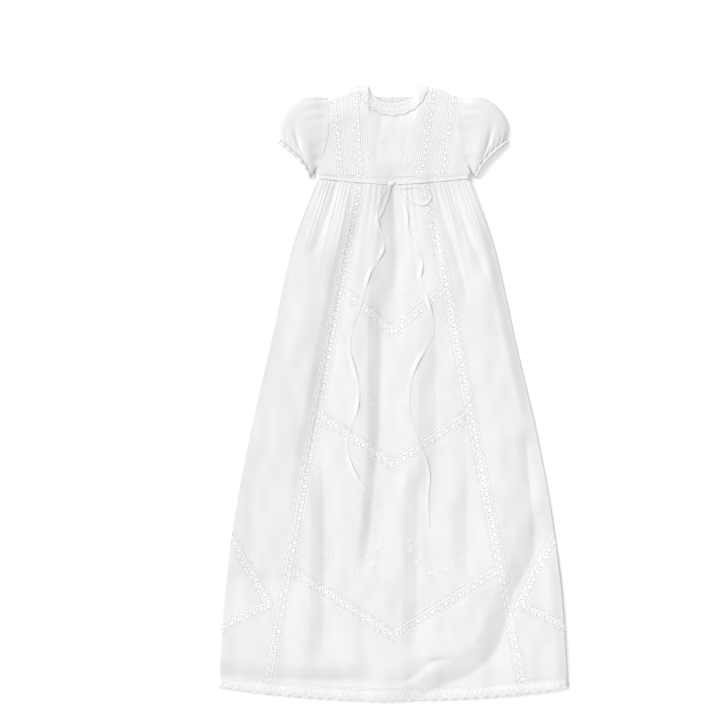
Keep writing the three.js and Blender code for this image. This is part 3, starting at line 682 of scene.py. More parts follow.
@dataclass
class Shell:
    """A surface before it becomes a mesh: points, faces of three or four corners, flat coordinates."""

    points: Array
    faces: list[Array]
    flat: Array

    @staticmethod
    def of_grid(grid: Array) -> Shell:
        """Make a grid of points a surface whose flat coordinates are its plan."""
        rows, columns = grid.shape[:2]
        points = grid.reshape(-1, 3)
        return Shell(points, [grid_quads(columns - 1, rows - 1)], points[:, :2])

    @staticmethod
    def joined(shells: list[Shell]) -> Shell:
        """Put shells together as one.

        Args:
            shells: The shells.

        Returns:
            One shell with the faces of all.
        """
        starts = np.cumsum([0] + [len(shell.points) for shell in shells])
        faces = [face + start for shell, start in zip(shells, starts) for face in shell.faces]
        points = np.concatenate([shell.points for shell in shells])
        return Shell(points, faces, np.concatenate([shell.flat for shell in shells]))

    def within(self, region: Region) -> Shell:
        """Keep the faces whose middle, seen from above, lies in a region.

        Args:
            region: Tells which places belong to it.

        Returns:
            A shell without the other faces.
        """
        faces = []
        for face in self.faces:
            middle = self.points[face].mean(axis=1)
            faces.append(face[region(middle[:, 0], middle[:, 1])])
        used = np.unique(np.concatenate([face.ravel() for face in faces]))
        number = np.zeros(len(self.points), int)
        number[used] = np.arange(len(used))
        return Shell(self.points[used], [number[face] for face in faces], self.flat[used])


def grid_quads(columns: int, rows: int, closed: bool = False) -> Array:
    """Quads of a grid that is numbered row by row, each row closed to a ring if asked.

    Args:
        columns: Faces in a row.
        rows: Rows of faces.
        closed: Whether a row is a ring.

    Returns:
        Four point numbers for each face.
    """
    wide = columns if closed else columns + 1
    first = np.arange(columns)
    start = np.arange(rows)[:, None] * wide
    a = start + first
    b = start + (first + 1) % wide
    return np.stack([a, b, b + wide, a + wide], axis=-1).reshape(-1, 4)


def make_piece(name: str, shell: Shell, finish: Material, slot: str, *nodes: str) -> Piece:
    """Make a shell a smooth mesh that rides on the gown and stands for its CAD nodes.

    Args:
        name: The piece's name.
        shell: The surface.
        finish: Its material.
        slot: The name of its material slot; not used.
        nodes: The CAD nodes that it stands for.

    Returns:
        The new object.
    """
    mesh = bpy.data.meshes.new(name)
    corners = np.concatenate([face.ravel() for face in shell.faces]).astype(np.int32)
    sizes = np.concatenate([np.full(len(face), face.shape[1]) for face in shell.faces])
    starts = np.concatenate([[0], np.cumsum(sizes)[:-1]]).astype(np.int32)
    mesh.vertices.add(len(shell.points))
    mesh.vertices.foreach_set("co", shell.points.astype(np.float32).ravel())
    mesh.loops.add(len(corners))
    mesh.loops.foreach_set("vertex_index", corners)
    mesh.polygons.add(len(sizes))
    mesh.polygons.foreach_set("loop_start", starts)
    mesh.polygons.foreach_set("use_smooth", np.ones(len(sizes), bool))
    mesh.update(calc_edges=True)
    mesh.validate()
    layer = mesh.uv_layers.new(name="flat")
    layer.data.foreach_set("uv", shell.flat[corners].astype(np.float32).ravel())
    mesh.materials.append(finish)
    piece = bpy.data.objects.new(name, mesh)
    bpy.context.scene.collection.objects.link(piece)
    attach(piece, BODY)
    if nodes:
        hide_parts(*nodes)
    LOG.info("%s: %d faces", name, len(sizes))
    return piece


def thicken(piece: Piece, thickness: float, offset: float = -1.0) -> None:
    """Give a surface the thickness of its cloth, on its underside unless told otherwise.

    Args:
        piece: The surface.
        thickness: The thickness.
        offset: Which way it grows, from -1 for down to 1 for up.
    """
    wall = piece.modifiers.new("wall", "SOLIDIFY")
    wall.thickness = thickness
    wall.offset = offset
    weigh_normals(piece)


def weigh_normals(piece: Piece) -> None:
    """Let large faces lead the shading, so that narrow rims don't darken what is beside them."""
    normals = piece.modifiers.new("normals", "WEIGHTED_NORMAL")
    normals.mode = "FACE_AREA"
    normals.weight = 90


def cut_size(grid: Array) -> tuple[float, float]:
    """Width and length of the cloth in a grid of points: its longest row and its longest column."""
    across = np.linalg.norm(np.diff(grid, axis=1), axis=-1).sum(axis=1).max()
    along = np.linalg.norm(np.diff(grid, axis=0), axis=-1).sum(axis=0).max()
    return float(across), float(along)


def cloth_area(shell: Shell) -> float:
    """Area of a shell's faces in square metres, as it lies.

    Args:
        shell: The cloth.

    Returns:
        The area.
    """
    total = 0.0
    for face in shell.faces:
        a, b, c = (shell.points[face[:, k]] for k in (0, 1, 2))
        total += 0.5 * np.linalg.norm(np.cross(b - a, c - a), axis=1).sum()
        if face.shape[1] == 4:
            d = shell.points[face[:, 3]]
            total += 0.5 * np.linalg.norm(np.cross(c - a, d - a), axis=1).sum()
    return float(total)


def declare_sheet(piece: Piece, node: str, grid: Array, shell: Shell, held: Hold, *trims: Piece) -> None:
    """Work out the cut size and area of a sheet of cloth, and log them.

    Args:
        piece: The sheet; not used.
        node: The name that it is reported by.
        grid: The grid of points that it was made from.
        shell: Its surface.
        held: How it is held; not used.
        trims: What is worked on the sheet or sewn to it; not used.
    """
    cut, area = cut_size(grid), cloth_area(shell)
    LOG.info("%s cut %.3f by %.3f m, %.4f m2", node, *cut, area)


class NodeBench:
    """Adds nodes to a tree and joins their sockets."""

    def __init__(self, tree: bpy.types.NodeTree) -> None:
        """Start with an empty tree."""
        self.tree = tree
        tree.nodes.clear()

    def add(
        self, kind: str, values: dict[str, object] | None = None, **settings: object
    ) -> bpy.types.Node:
        """Add a node, then set its own settings and its inputs' values by name.

        Args:
            kind: The node's kind.
            values: Values of its inputs.
            settings: Its own settings.

        Returns:
            The node.
        """
        node = self.tree.nodes.new("ShaderNode" + kind)
        for key, value in settings.items():
            setattr(node, key, value)
        for key, value in (values or {}).items():
            node.inputs[key].default_value = value
        return node

    def join(self, source: Socket, target: Socket) -> None:
        """Join an output to an input."""
        self.tree.links.new(source, target)

    def math(self, operation: str, first: float | Socket, second: float | Socket = 0.0) -> Socket:
        """Add a math node on two values, each a number or an output.

        Args:
            operation: What is done.
            first: The first value.
            second: The second value.

        Returns:
            The output with the result.
        """
        node = self.add("Math", operation=operation)
        for socket, value in zip(node.inputs, (first, second)):
            if isinstance(value, (int, float)):
                socket.default_value = value
            else:
                self.join(value, socket)
        return node.outputs[0]


def new_group(
    name: str, inputs: dict[str, str], outputs: dict[str, str]
) -> tuple[NodeBench, dict[str, Socket], dict[str, Socket]]:
    """Start a shader node group with named sockets.

    Args:
        name: The group's name.
        inputs: Socket types by name, such as Float or Vector.
        outputs: The same for its outputs.

    Returns:
        A bench for its tree, its input sockets by name and its output sockets by name.
    """
    tree = bpy.data.node_groups.new(name, "ShaderNodeTree")
    bench = NodeBench(tree)
    for word, kind in inputs.items():
        tree.interface.new_socket(name=word, in_out="INPUT", socket_type="NodeSocket" + kind)
    for word, kind in outputs.items():
        tree.interface.new_socket(name=word, in_out="OUTPUT", socket_type="NodeSocket" + kind)
    given = tree.nodes.new("NodeGroupInput")
    taken = tree.nodes.new("NodeGroupOutput")
    return bench, {w: given.outputs[w] for w in inputs}, {w: taken.inputs[w] for w in outputs}


def plain_weave_group() -> bpy.types.NodeTree:
    """A plain weave: a sine along the warp times one along the weft, with uneven threads."""
    bench, given, taken = new_group(
        "plain_weave", {"Vector": "Vector", "Pitch": "Float"}, {"Height": "Float"}
    )
    parts = bench.add("SeparateXYZ")
    bench.join(given["Vector"], parts.inputs[0])
    scale = bench.math("DIVIDE", TURN, given["Pitch"])
    warp = bench.math("SINE", bench.math("MULTIPLY", parts.outputs[0], scale))
    weft = bench.math("SINE", bench.math("MULTIPLY", parts.outputs[1], scale))
    slub = bench.add("TexNoise", {"Scale": 700.0, "Detail": 2.0})
    bench.join(given["Vector"], slub.inputs["Vector"])
    woven = bench.math("MULTIPLY", bench.math("MULTIPLY", warp, weft), 0.5)
    bench.join(bench.math("ADD", woven, slub.outputs[0]), taken["Height"])
    return bench.tree


def mottle_group() -> bpy.types.NodeTree:
    """Soft clouds from 0 to 1, by which a cloth's colour and gloss drift over its surface."""
    bench, given, taken = new_group("mottle", {"Vector": "Vector", "Scale": "Float"}, {"Cloud": "Float"})
    noise = bench.add("TexNoise", {"Detail": 4.0})
    bench.join(given["Vector"], noise.inputs["Vector"])
    bench.join(given["Scale"], noise.inputs["Scale"])
    spread = bench.add("MapRange", {"From Min": 0.32, "From Max": 0.68})
    bench.join(noise.outputs[0], spread.inputs["Value"])
    bench.join(spread.outputs[0], taken["Cloud"])
    return bench.tree


@dataclass(frozen=True)
class ClothFinish:
    """A cloth's finish: two near colours, its gloss, its sheen and the pitch of its weave."""

    name: str
    light: tuple[float, float, float]
    dark: tuple[float, float, float]
    smooth: float
    rough: float
    sheen: float
    pitch: float
    bump: float
    cloud_scale: float
    shine: float = 0.3
    anisotropy: float = 0.0

    def make(self, weave: bpy.types.NodeTree, mottle: bpy.types.NodeTree) -> Material:
        """Build the material.

        Args:
            weave: The plain weave group.
            mottle: The mottle group.

        Returns:
            The material.
        """
        material = bpy.data.materials.new(self.name)
        material.use_nodes = True
        bench = NodeBench(material.node_tree)
        flat = bench.add("UVMap", uv_map="flat")
        place = bench.add("TexCoord")
        cloud = bench.add("Group", {"Scale": self.cloud_scale}, node_tree=mottle)
        colour = bench.add("Mix", {"A": (*self.dark, 1.0), "B": (*self.light, 1.0)}, data_type="RGBA")
        gloss = bench.add("MapRange", {"To Min": self.rough, "To Max": self.smooth})
        threads = bench.add("Group", {"Pitch": self.pitch}, node_tree=weave)
        bump = bench.add("Bump", {"Strength": self.bump, "Distance": 0.25 * self.pitch})
        sheen = {"Sheen Weight": self.sheen, "Sheen Roughness": 0.5}
        shine = {"Specular IOR Level": self.shine, "Anisotropic": self.anisotropy}
        shader = bench.add("BsdfPrincipled", sheen | shine)
        output = bench.add("OutputMaterial")
        for source, target in (
            (place.outputs["Object"], cloud.inputs["Vector"]),
            (cloud.outputs["Cloud"], colour.inputs["Factor"]),
            (cloud.outputs["Cloud"], gloss.inputs["Value"]),
            (flat.outputs[0], threads.inputs["Vector"]),
            (threads.outputs["Height"], bump.inputs["Height"]),
            (colour.outputs["Result"], shader.inputs["Base Color"]),
            (gloss.outputs[0], shader.inputs["Roughness"]),
            (bump.outputs[0], shader.inputs["Normal"]),
            (shader.outputs[0], output.inputs["Surface"]),
        ):
            bench.join(source, target)
        return material


LAWN = ClothFinish(
    "cotton_lawn", (0.725, 0.725, 0.735), (0.700, 0.700, 0.712), smooth=0.82, rough=0.95, sheen=0.10,
    pitch=0.45 * MM, bump=0.30, cloud_scale=28.0, shine=0.2,
)
# The sleeves' lawn is a darker, warmer copy of the body's lawn: painted shade for the puffed sleeves and
# their cuffs.
SHADED_SLEEVE_LAWN = ClothFinish(
    "sleeve_lawn", (0.700, 0.695, 0.690), (0.675, 0.670, 0.666), smooth=0.82, rough=0.95, sheen=0.10,
    pitch=0.45 * MM, bump=0.30, cloud_scale=40.0, shine=0.2,
)
# The lace thread is lighter than the lawn of the same cotton: painted light that offsets the shade its
# own relief casts.
LACE_THREAD_PAINTED_LIGHT = ClothFinish(
    "lace_thread", (0.835, 0.835, 0.838), (0.820, 0.820, 0.823), smooth=0.70, rough=0.90, sheen=0.08,
    pitch=0.30 * MM, bump=0.25, cloud_scale=160.0, shine=0.3,
)
# The net is an opaque sheet set darker than the thread: partly the net ground's own tone, partly painted
# shade of the cloth that shows through the holes of real lace.
LACE_NET_PAINTED_SHADE = ClothFinish(
    "lace_net", (0.785, 0.785, 0.789), (0.770, 0.770, 0.774), smooth=0.85, rough=0.95, sheen=0.05,
    pitch=1.30 * MM, bump=0.10, cloud_scale=300.0, shine=0.1,
)
SATIN = ClothFinish(
    "satin_ribbon", (0.738, 0.738, 0.745), (0.720, 0.720, 0.728), smooth=0.30, rough=0.40, sheen=0.10,
    pitch=0.22 * MM, bump=0.10, cloud_scale=70.0, shine=0.5, anisotropy=0.4,
)


class Wardrobe:
    """The materials of the gown, made once."""

    def __init__(self) -> None:
        """Make the shared node groups and the finishes."""
        weave, mottle = plain_weave_group(), mottle_group()
        self.lawn = LAWN.make(weave, mottle)
        # The sleeves and cuffs get the copy of the lawn with painted shade.
        self.sleeve = SHADED_SLEEVE_LAWN.make(weave, mottle)
        self.thread = LACE_THREAD_PAINTED_LIGHT.make(weave, mottle)
        self.net = LACE_NET_PAINTED_SHADE.make(weave, mottle)
        self.satin = SATIN.make(weave, mottle)


@dataclass
class Studio:
    """The pale floor, the soft light and the camera straight above the gown."""

    distance: float = 2.2
    view_width: float = 0.9856
    middle_x: float = -0.0574
    middle_y: float = 0.0574
    sensor: float = 36.0
    floor_half: float = 4.0
    floor_colour: tuple[float, float, float] = (0.92, 0.92, 0.92)
    floor_shadow_fill_glow: float = 0.2
    sky_strength: float = 0.74
    sun_strength: float = 2.9
    sun_softness: float = 0.75
    sun_height: float = np.radians(31.0)
    sun_bearing: float = np.radians(146.0)

    def place_camera(self) -> None:
        """Hang the camera above the gown, looking straight down with the neck towards the top."""
        lens = bpy.data.cameras.new("camera")
        lens.sensor_width = self.sensor
        lens.lens = self.sensor * self.distance / self.view_width
        camera = bpy.data.objects.new("camera", lens)
        camera.location = (self.middle_x, self.middle_y, self.distance)
        bpy.context.scene.collection.objects.link(camera)
        bpy.context.scene.camera = camera

    def lay_floor(self) -> None:
        """Lay a plain matt floor at the height that the gown lies on; it glows faintly, painted light
        that keeps the shadows on it pale.
        """
        half = self.floor_half
        corners = [(-half, -half, 0), (half, -half, 0), (half, half, 0), (-half, half, 0)]
        mesh = bpy.data.meshes.new("floor")
        mesh.from_pydata(corners, [], [(0, 1, 2, 3)])
        material = bpy.data.materials.new("floor_paper")
        material.use_nodes = True
        bench = NodeBench(material.node_tree)
        paper = {"Base Color": (*self.floor_colour, 1.0), "Roughness": 0.9, "Specular IOR Level": 0.0}
        # Painted light: the floor glows a little, so that the shadows cast on it stay pale.
        shadow_fill_glow = {"Emission Color": (1.0, 1.0, 1.0, 1.0), "Emission Strength": self.floor_shadow_fill_glow}
        shader = bench.add("BsdfPrincipled", paper | shadow_fill_glow)
        bench.join(shader.outputs[0], bench.add("OutputMaterial").inputs["Surface"])
        mesh.materials.append(material)
        floor = bpy.data.objects.new("floor", mesh)
        bpy.context.scene.collection.objects.link(floor)

    def light(self) -> None:
        """Light the gown from the upper left, softly, with an even sky all round."""
        scene = bpy.context.scene
        scene.view_settings.view_transform = "Standard"
        world = bpy.data.worlds.new("sky")
        world.use_nodes = True
        background = world.node_tree.nodes["Background"]
        background.inputs["Color"].default_value = (1.0, 1.0, 1.0, 1.0)
        background.inputs["Strength"].default_value = self.sky_strength
        scene.world = world
        lamp = bpy.data.lights.new("window", "SUN")
        lamp.energy = self.sun_strength
        lamp.angle = self.sun_softness
        sun = bpy.data.objects.new("window", lamp)
        sun.rotation_euler = (0.0, 0.5 * np.pi - self.sun_height, self.sun_bearing)
        scene.collection.objects.link(sun)


@dataclass
class FrontPanels:
    """The lawn panels of the front: the skirt's centre and sides, and the bodice."""

    plan: GownPlan
    surface: FrontSurface
    finish: Material
    slant: float = 0.4 * MM
    tuck_height: float = 0.25 * MM
    tuck_width: float = 0.55 * MM
    tuck_pitch: float = 3.2 * MM
    centre_tucks: int = 2
    side_tucks: int = 4

    def panel(
        self, node: str, size: tuple[int, int], place: PlanFunction, held: Hold, *trims: Piece
    ) -> Piece:
        """Lay one panel on the front's height.

        Args:
            node: The CAD node that the panel stands for.
            size: Grid columns from left to right and rows from hem to neck.
            place: Gives the panel's place seen from above, from two shares from 0 to 1.
            held: How the cloth is held, or sewn where the panel belongs to another; only an unsewn
                panel's size is logged.
            trims: What is worked on the panel or sewn to it.

        Returns:
            The panel.
        """
        x, y = place(*shares(*size))
        grid = self.surface.lay(x, y, self.tucks(node, x, y))
        shell = Shell.of_grid(grid)
        piece = make_piece(node + "_lawn", shell, self.finish, "lawn", node)
        thicken(piece, self.surface.cloth)
        if held is not Hold.SEWN:
            declare_sheet(piece, node, grid, shell, held, *trims)
        return piece

    def tucks(self, node: str, x: Array, y: Array) -> Array:
        """Raised pin tucks beside the inner bodice lace: narrow bells that follow the strips.

        Args:
            node: The panel's CAD node.
            x: Distance to the right of the middle.
            y: Distance up the gown, towards the neck.

        Returns:
            The height that the tucks add.
        """
        edges = self.plan.bodice_edges(y, x)
        if node == "bodice_centre":
            offsets = edges[0] - np.abs(x)
            count = self.centre_tucks
        elif "tucks" in node:
            offsets = np.abs(x) - edges[1]
            count = self.side_tucks
        else:
            return np.zeros_like(x)
        number = np.clip(np.round(offsets / self.tuck_pitch), 1, count)
        aside = (offsets - number * self.tuck_pitch) / self.tuck_width
        return self.tuck_height * np.exp(-(aside**2))

    def chevron_edge(self, chevron: Chevron, way: int) -> Edge:
        """Edge of the cloth beside a chevron: the V of the chevron, moved by half the lace.

        Args:
            chevron: The chevron.
            way: 1 for the cloth above it, -1 for the cloth below.

        Returns:
            The edge, by the place across from -1 to 1.
        """
        plan = self.plan
        slope = chevron.rise / float(plan.centre_half(np.array(chevron.tip + 0.5 * chevron.rise), 1))
        gap = way * (0.5 * plan.lace * np.hypot(1.0, slope) + 0.5 * self.slant)
        return lambda n: chevron.line(n) + gap

    def centre(self, sprigs: Piece) -> None:
        """Lay the four sections of the skirt's centre, from the waist to the hem, with their sprigs.

        Args:
            sprigs: The sprigs worked on the skirt.
        """
        plan = self.plan

        def waist(n: Array) -> Array:
            """Upper edge of the skirt."""
            return plan.skirt_top(n * plan.centre_half(np.array(plan.waist_y), n))

        def hem(n: Array) -> Array:
            """Seam of the hem's lace."""
            return plan.hem_seam(n * plan.centre_half(np.array(plan.hem_y), n))

        above = [self.chevron_edge(chevron, 1) for chevron in plan.chevrons]
        below = [self.chevron_edge(chevron, -1) for chevron in plan.chevrons]
        part = plan.centre_part
        self.panel("skirt_centre_top", (128, 80), part(above[0], waist), Hold.GATHERED)
        self.panel("skirt_centre_upper", (110, 64), part(above[1], below[0]), Hold.LAID)
        self.panel("skirt_centre_lower", (130, 90), part(above[2], below[1]), Hold.LAID, sprigs)
        self.panel("skirt_centre_hem", (150, 60), part(hem, below[2]), Hold.LAID)

    def sides(self) -> None:
        """Lay the side panels, above, inside and below their lace diamonds."""
        plan = self.plan
        half = 0.5 * self.slant
        for side in Side:

            def waist(share: Array, sign: int = side.value) -> Array:
                """Upper edge of the skirt."""
                start = plan.side_start(np.array(plan.waist_y), sign)
                return plan.skirt_top(between(start, plan.outline_half[0], share))

            def hem(share: Array, sign: int = side.value) -> Array:
                """Seam of the hem's lace."""
                start = plan.side_start(np.array(plan.hem_y), sign)
                return plan.hem_seam(between(start, plan.hem_half, share))

            main_part = plan.side_part(side, lambda s: plan.upper_arm(s) + half, waist)
            inside = plan.side_part(
                side,
                lambda s: plan.lower_arm(s) + plan.lower_arm_rise + half,
                lambda s: plan.upper_arm(s) - plan.upper_arm_rise - half,
                plan.mitre_end() + 0.01,
            )
            foot = plan.side_part(side, hem, lambda s: plan.lower_arm(s) - half)
            self.panel("skirt_side_" + side.word, (120, 150), main_part, Hold.GATHERED)
            self.panel("diamond_cloth_" + side.word, (32, 46), inside, Hold.LAID)
            self.panel("skirt_side_hem_" + side.word, (44, 46), foot, Hold.LAID)

    def bodice(self, sprigs: Piece) -> None:
        """Lay the front bodice: its centre, and on each side the tucked panel and the side panel.

        Args:
            sprigs: The sprigs worked on the bodice.
        """
        plan = self.plan
        gap = 0.5 * plan.seam

        def centre(y: Array, u: Array) -> Array:
            """Place across the centre panel."""
            n = 2.0 * u - 1.0
            return n * (plan.bodice_edges(y, n)[0] - gap)

        self.panel("bodice_centre", (200, 90), plan.bodice_part(centre, plan.neck_y), Hold.LAID, sprigs)
        for side in Side:
            sewn = []
            for word, first, held in (("bodice_side_", 3, Hold.SEWN), ("bodice_tucks_", 1, Hold.LAID)):

                def strip(y: Array, u: Array, first: int = first, sign: int = side.value) -> Array:
                    """Place across the panel, the side panel going right up to the armhole."""
                    edges = plan.bodice_edges(y, sign)
                    last = 0.0 if first == 3 else gap
                    share = u if sign > 0 else 1.0 - u
                    return sign * between(edges[first] + gap, edges[first + 1] - last, share)

                place = plan.bodice_part(strip, plan.shoulder_y)
                sewn.append(self.panel(word + side.word, (48, 90), place, held, *sewn))


@dataclass
class BackPanels:
    """The plain back of the gown, flat on the surface, seen at the neck and through the lace."""

    plan: GownPlan
    finish: Material
    thickness: float = 0.6 * MM
    swell: float = 0.35 * MM
    swell_pitch: float = 41 * MM
    swell_drift: float = 190 * MM
    meeting: float = 0.02 * MM
    steps: int = 40

    def flat_panel(self, node: str, place: PlanFunction) -> None:
        """Lay one panel flat, with a faint swell so that it is not a dead plane.

        Args:
            node: The CAD node that the panel stands for.
            place: Gives the panel's place seen from above.
        """
        x, y = place(*shares(self.steps, self.steps))
        drift = 2.0 * np.sin(TURN * y / self.swell_drift)
        swell = self.swell * (0.5 + 0.5 * np.sin(TURN * x / self.swell_pitch + drift))
        grid = np.stack([x, y, self.thickness + swell], axis=-1)
        shell = Shell.of_grid(grid)
        piece = make_piece(node + "_lawn", shell, self.finish, "lawn", node)
        thicken(piece, self.thickness)
        declare_sheet(piece, node, grid, shell, Hold.LAID)

    def build(self) -> None:
        """Lay the back skirt, the back waistband and the two halves of the back bodice."""
        plan = self.plan
        waist = plan.waist_half - plan.back_inset

        def skirt(u: Array, v: Array) -> Place:
            """Go across by n, from -1 to 1, and up from the hem."""
            n = 2.0 * u - 1.0
            low = plan.hem_seam(n * (plan.hem_half - plan.back_inset))
            y = between(low, plan.skirt_top(n * waist), v)
            return n * (plan.skirt_half(y) - plan.back_inset), y

        def band(u: Array, v: Array) -> Place:
            """Go along the waist and up across the band."""
            x = between(-waist, waist, u)
            return x, plan.waist(x) + between(-plan.band_half, plan.band_half, v)

        self.flat_panel("skirt_back", skirt)
        self.flat_panel("waistband_back", band)
        for side in Side:

            def half(u: Array, v: Array, sign: int = side.value) -> Place:
                """Go out from the opening and up to the neck, which dips like a parabola."""
                share = u if sign > 0 else 1.0 - u
                top = plan.neck_y - plan.back_inset
                dip = plan.back_neck_depth - plan.back_inset
                dip = dip * np.clip(1.0 - (share / 0.4) ** 2, 0.0, 1.0)
                y = between(plan.bodice_foot(share * waist), top - dip - 2.0 * MM * share, v)
                side_x = np.minimum(plan.armhole(y), plan.shoulder_x) - plan.seam
                return sign * between(self.meeting, side_x, share), y

            self.flat_panel("bodice_back_" + side.word, half)


@dataclass(frozen=True)
class Threads:
    """Threads of a lace repeat: paths of (along, across, lift) points, all of one gauge."""

    paths: Array
    width: float
    thickness: float


@dataclass(frozen=True)
class LacePattern:
    """One repeat of a lace: its length, its threads, and its solid leaves and dots.

    Each solid has along, across, half length, half width and turn.
    """

    period: float
    threads: tuple[Threads, ...]
    solids: Array
    solid_thickness: float = 0.12 * MM


def level(along: Array, across: Array) -> Array:
    """Paths from along and across values of one shape, with no lift."""
    along, across = np.broadcast_arrays(along, across)
    return np.stack([along, across, np.zeros_like(along)], axis=-1)


def spaced(count: int, period: float) -> Array:
    """Middles of equal shares of a repeat."""
    return (np.arange(count) + 0.5) * period / count


def scallop(depth: float, turns: Array) -> Array:
    """How far a scalloped edge is cut back: half waves, counted by turns, with points between them."""
    return depth * (1.0 - np.abs(np.sin(np.pi * turns)))


def tapes(period: float, *across: float) -> Array:
    """Paths that run straight along a repeat."""
    return level(np.linspace(0.0, period, 5)[None, :], np.array(across)[:, None])


def bars(count: int, period: float, *ends: tuple[float, float]) -> Array:
    """Paths of short bars across a lace, a row of them for each pair of ends."""
    along = np.tile(spaced(count, period)[:, None], (len(ends), 2))
    return level(along, np.repeat(np.array(ends), count, axis=0))


def heading(period: float, across: float, bars_to: float) -> tuple[Threads, Threads]:
    """A lace's straight edge: a firm tape on each side and short bars from it inwards.

    Args:
        period: Length of the repeat.
        across: Middle of the tape, measured from the middle of the lace.
        bars_to: Where the bars end.

    Returns:
        The tapes and the bars.
    """
    rungs = bars(8, period, (across, bars_to), (-across, -bars_to))
    return (
        Threads(tapes(period, across, -across), 1.2 * MM, 0.55 * MM),
        Threads(rungs, 0.45 * MM, 0.40 * MM),
    )


def net(period: float, low: float, high: float, lines: int) -> Threads:
    """A net of two sets of slanting threads between two heights of a lace.

    Args:
        period: Length of the repeat.
        low: Lower end of the threads.
        high: Upper end.
        lines: Threads of each set in a repeat.

    Returns:
        The threads.
    """
    share = np.linspace(0.0, 1.0, 6)
    start = np.arange(lines)[:, None] * period / lines
    across = between(low, high, share)[None, :] + 0.0 * start
    right = level(start + share * period, across)
    left = level(start + (1.0 - share) * period, across)
    return Threads(np.concatenate([right, left]), 0.24 * MM, 0.30 * MM)


def seam_stitches(period: float, across: tuple[float, ...], pitch: float = 2.4 * MM) -> Threads:
    """Small stitches in the cloth beside a lace's edge.

    Args:
        period: Length of the repeat.
        across: Where the rows of stitches lie.
        pitch: Distance from stitch to stitch.

    Returns:
        The stitches.
    """
    count = max(1, round(period / pitch))
    along = spaced(count, period)[:, None] + np.array([-0.7, 0.7]) * MM
    rows = [level(along, np.full_like(along, where)) for where in across]
    return Threads(np.concatenate(rows), 0.40 * MM, 0.35 * MM)


def insertion(half: float, period: float) -> LacePattern:
    """Insertion lace: taped edges, a net ground, and a chain of rings with two dots between them.

    Args:
        half: Half the lace's width.
        period: Length of one ring of the chain.

    Returns:
        The pattern.
    """
    field = half - 2.2 * MM
    turn = np.linspace(0.0, 1.04 * TURN, 18)
    radius = np.array([0.34 * period, 0.72 * field])
    ring = level(0.5 * period + radius[0] * np.cos(turn), radius[1] * np.sin(turn))[None]
    solids = [[0.0, up * 0.60 * field, 0.13 * period, 0.26 * field, 0.0] for up in (-1, 1)]
    return LacePattern(
        period,
        (
            *heading(period, half - 0.5 * MM, field),
            net(period, -field, field, round(period / (2.6 * MM))),
            Threads(ring, 1.7 * MM, 0.80 * MM),
            Threads(tapes(period, field, -field), 0.55 * MM, 0.45 * MM),
            seam_stitches(period, (half + 1.1 * MM, -half - 1.1 * MM)),
        ),
        np.array(solids),
    )


def edging(half: float, period: float, depth: float) -> LacePattern:
    """Edging lace: a taped top, a net ground with a flower in each scallop, and a corded scalloped edge.

    Args:
        half: Half the lace's width.
        period: Length of one scallop.
        depth: How deep the scallops are cut.

    Returns:
        The pattern, whose scallops lie on its negative side.
    """
    along = np.linspace(0.0, period, 11)
    edge = -half + 0.5 * MM + scallop(depth, along / period)
    rim = level(along[None, :], np.stack([edge, edge + 1.5 * MM, edge + 3.0 * MM]))
    fan_along = spaced(12, period)
    fan_edge = -half + 0.6 * MM + scallop(depth, fan_along / period)
    fan = level(np.tile(fan_along[:, None], (1, 2)), np.stack([fan_edge, fan_edge + 2.6 * MM], axis=1))
    swing = np.linspace(0.0, np.pi, 5)[None, :]
    loops = spaced(6, period)[:, None]
    loop_edge = -half + 0.3 * MM + scallop(depth, loops / period)
    picot = level(loops - 0.8 * MM * np.cos(swing), loop_edge - 0.9 * MM * np.sin(swing))
    top, foot = half - 0.6 * MM, half - 2.4 * MM
    petal_turn = np.arange(5) * TURN / 5.0 + 0.3
    reach = 1.9 * MM
    flower_y = -0.12 * half
    petals = np.stack(
        [
            0.5 * period + reach * np.cos(petal_turn),
            flower_y + reach * np.sin(petal_turn),
            np.full(5, 1.35 * MM),
            np.full(5, 0.95 * MM),
            petal_turn,
        ],
        axis=1,
    )
    leaves = np.array(
        [
            [0.06 * period, flower_y - 0.5 * MM, 2.0 * MM, 0.85 * MM, 0.7],
            [0.06 * period, flower_y + 2.2 * MM, 1.7 * MM, 0.75 * MM, -0.6],
            [0.94 * period, flower_y - 0.5 * MM, 2.0 * MM, 0.85 * MM, -0.7],
        ]
    )
    return LacePattern(
        period,
        (
            Threads(tapes(period, top, foot), 1.0 * MM, 0.55 * MM),
            Threads(bars(8, period, (top, foot)), 0.45 * MM, 0.40 * MM),
            net(period, -half + depth + 2.0 * MM, foot, 5),
            Threads(rim, 0.75 * MM, 0.60 * MM),
            Threads(fan, 0.40 * MM, 0.40 * MM),
            Threads(picot, 0.45 * MM, 0.40 * MM),
            seam_stitches(period, (half + 1.0 * MM,)),
        ),
        np.concatenate([petals, leaves]),
    )


def beading(half: float) -> LacePattern:
    """Beading lace for the waist: two taped edges with eyelets and a plain way for the ribbon.

    Args:
        half: Half the lace's width.

    Returns:
        The pattern.
    """
    period = 10.0 * MM
    edge, inner = half - 0.5 * MM, half - 1.9 * MM
    return LacePattern(
        period,
        (
            Threads(tapes(period, edge, inner, -edge, -inner), 0.80 * MM, 0.60 * MM),
            Threads(bars(6, period, (edge, inner), (-edge, -inner)), 0.55 * MM, 0.45 * MM),
            seam_stitches(period, (half + 0.9 * MM, -half - 0.9 * MM)),
        ),
        np.array([[0.8 * period, up * (half - 1.2 * MM), 0.7 * MM, 0.6 * MM, 0.0] for up in (-1, 1)]),
    )


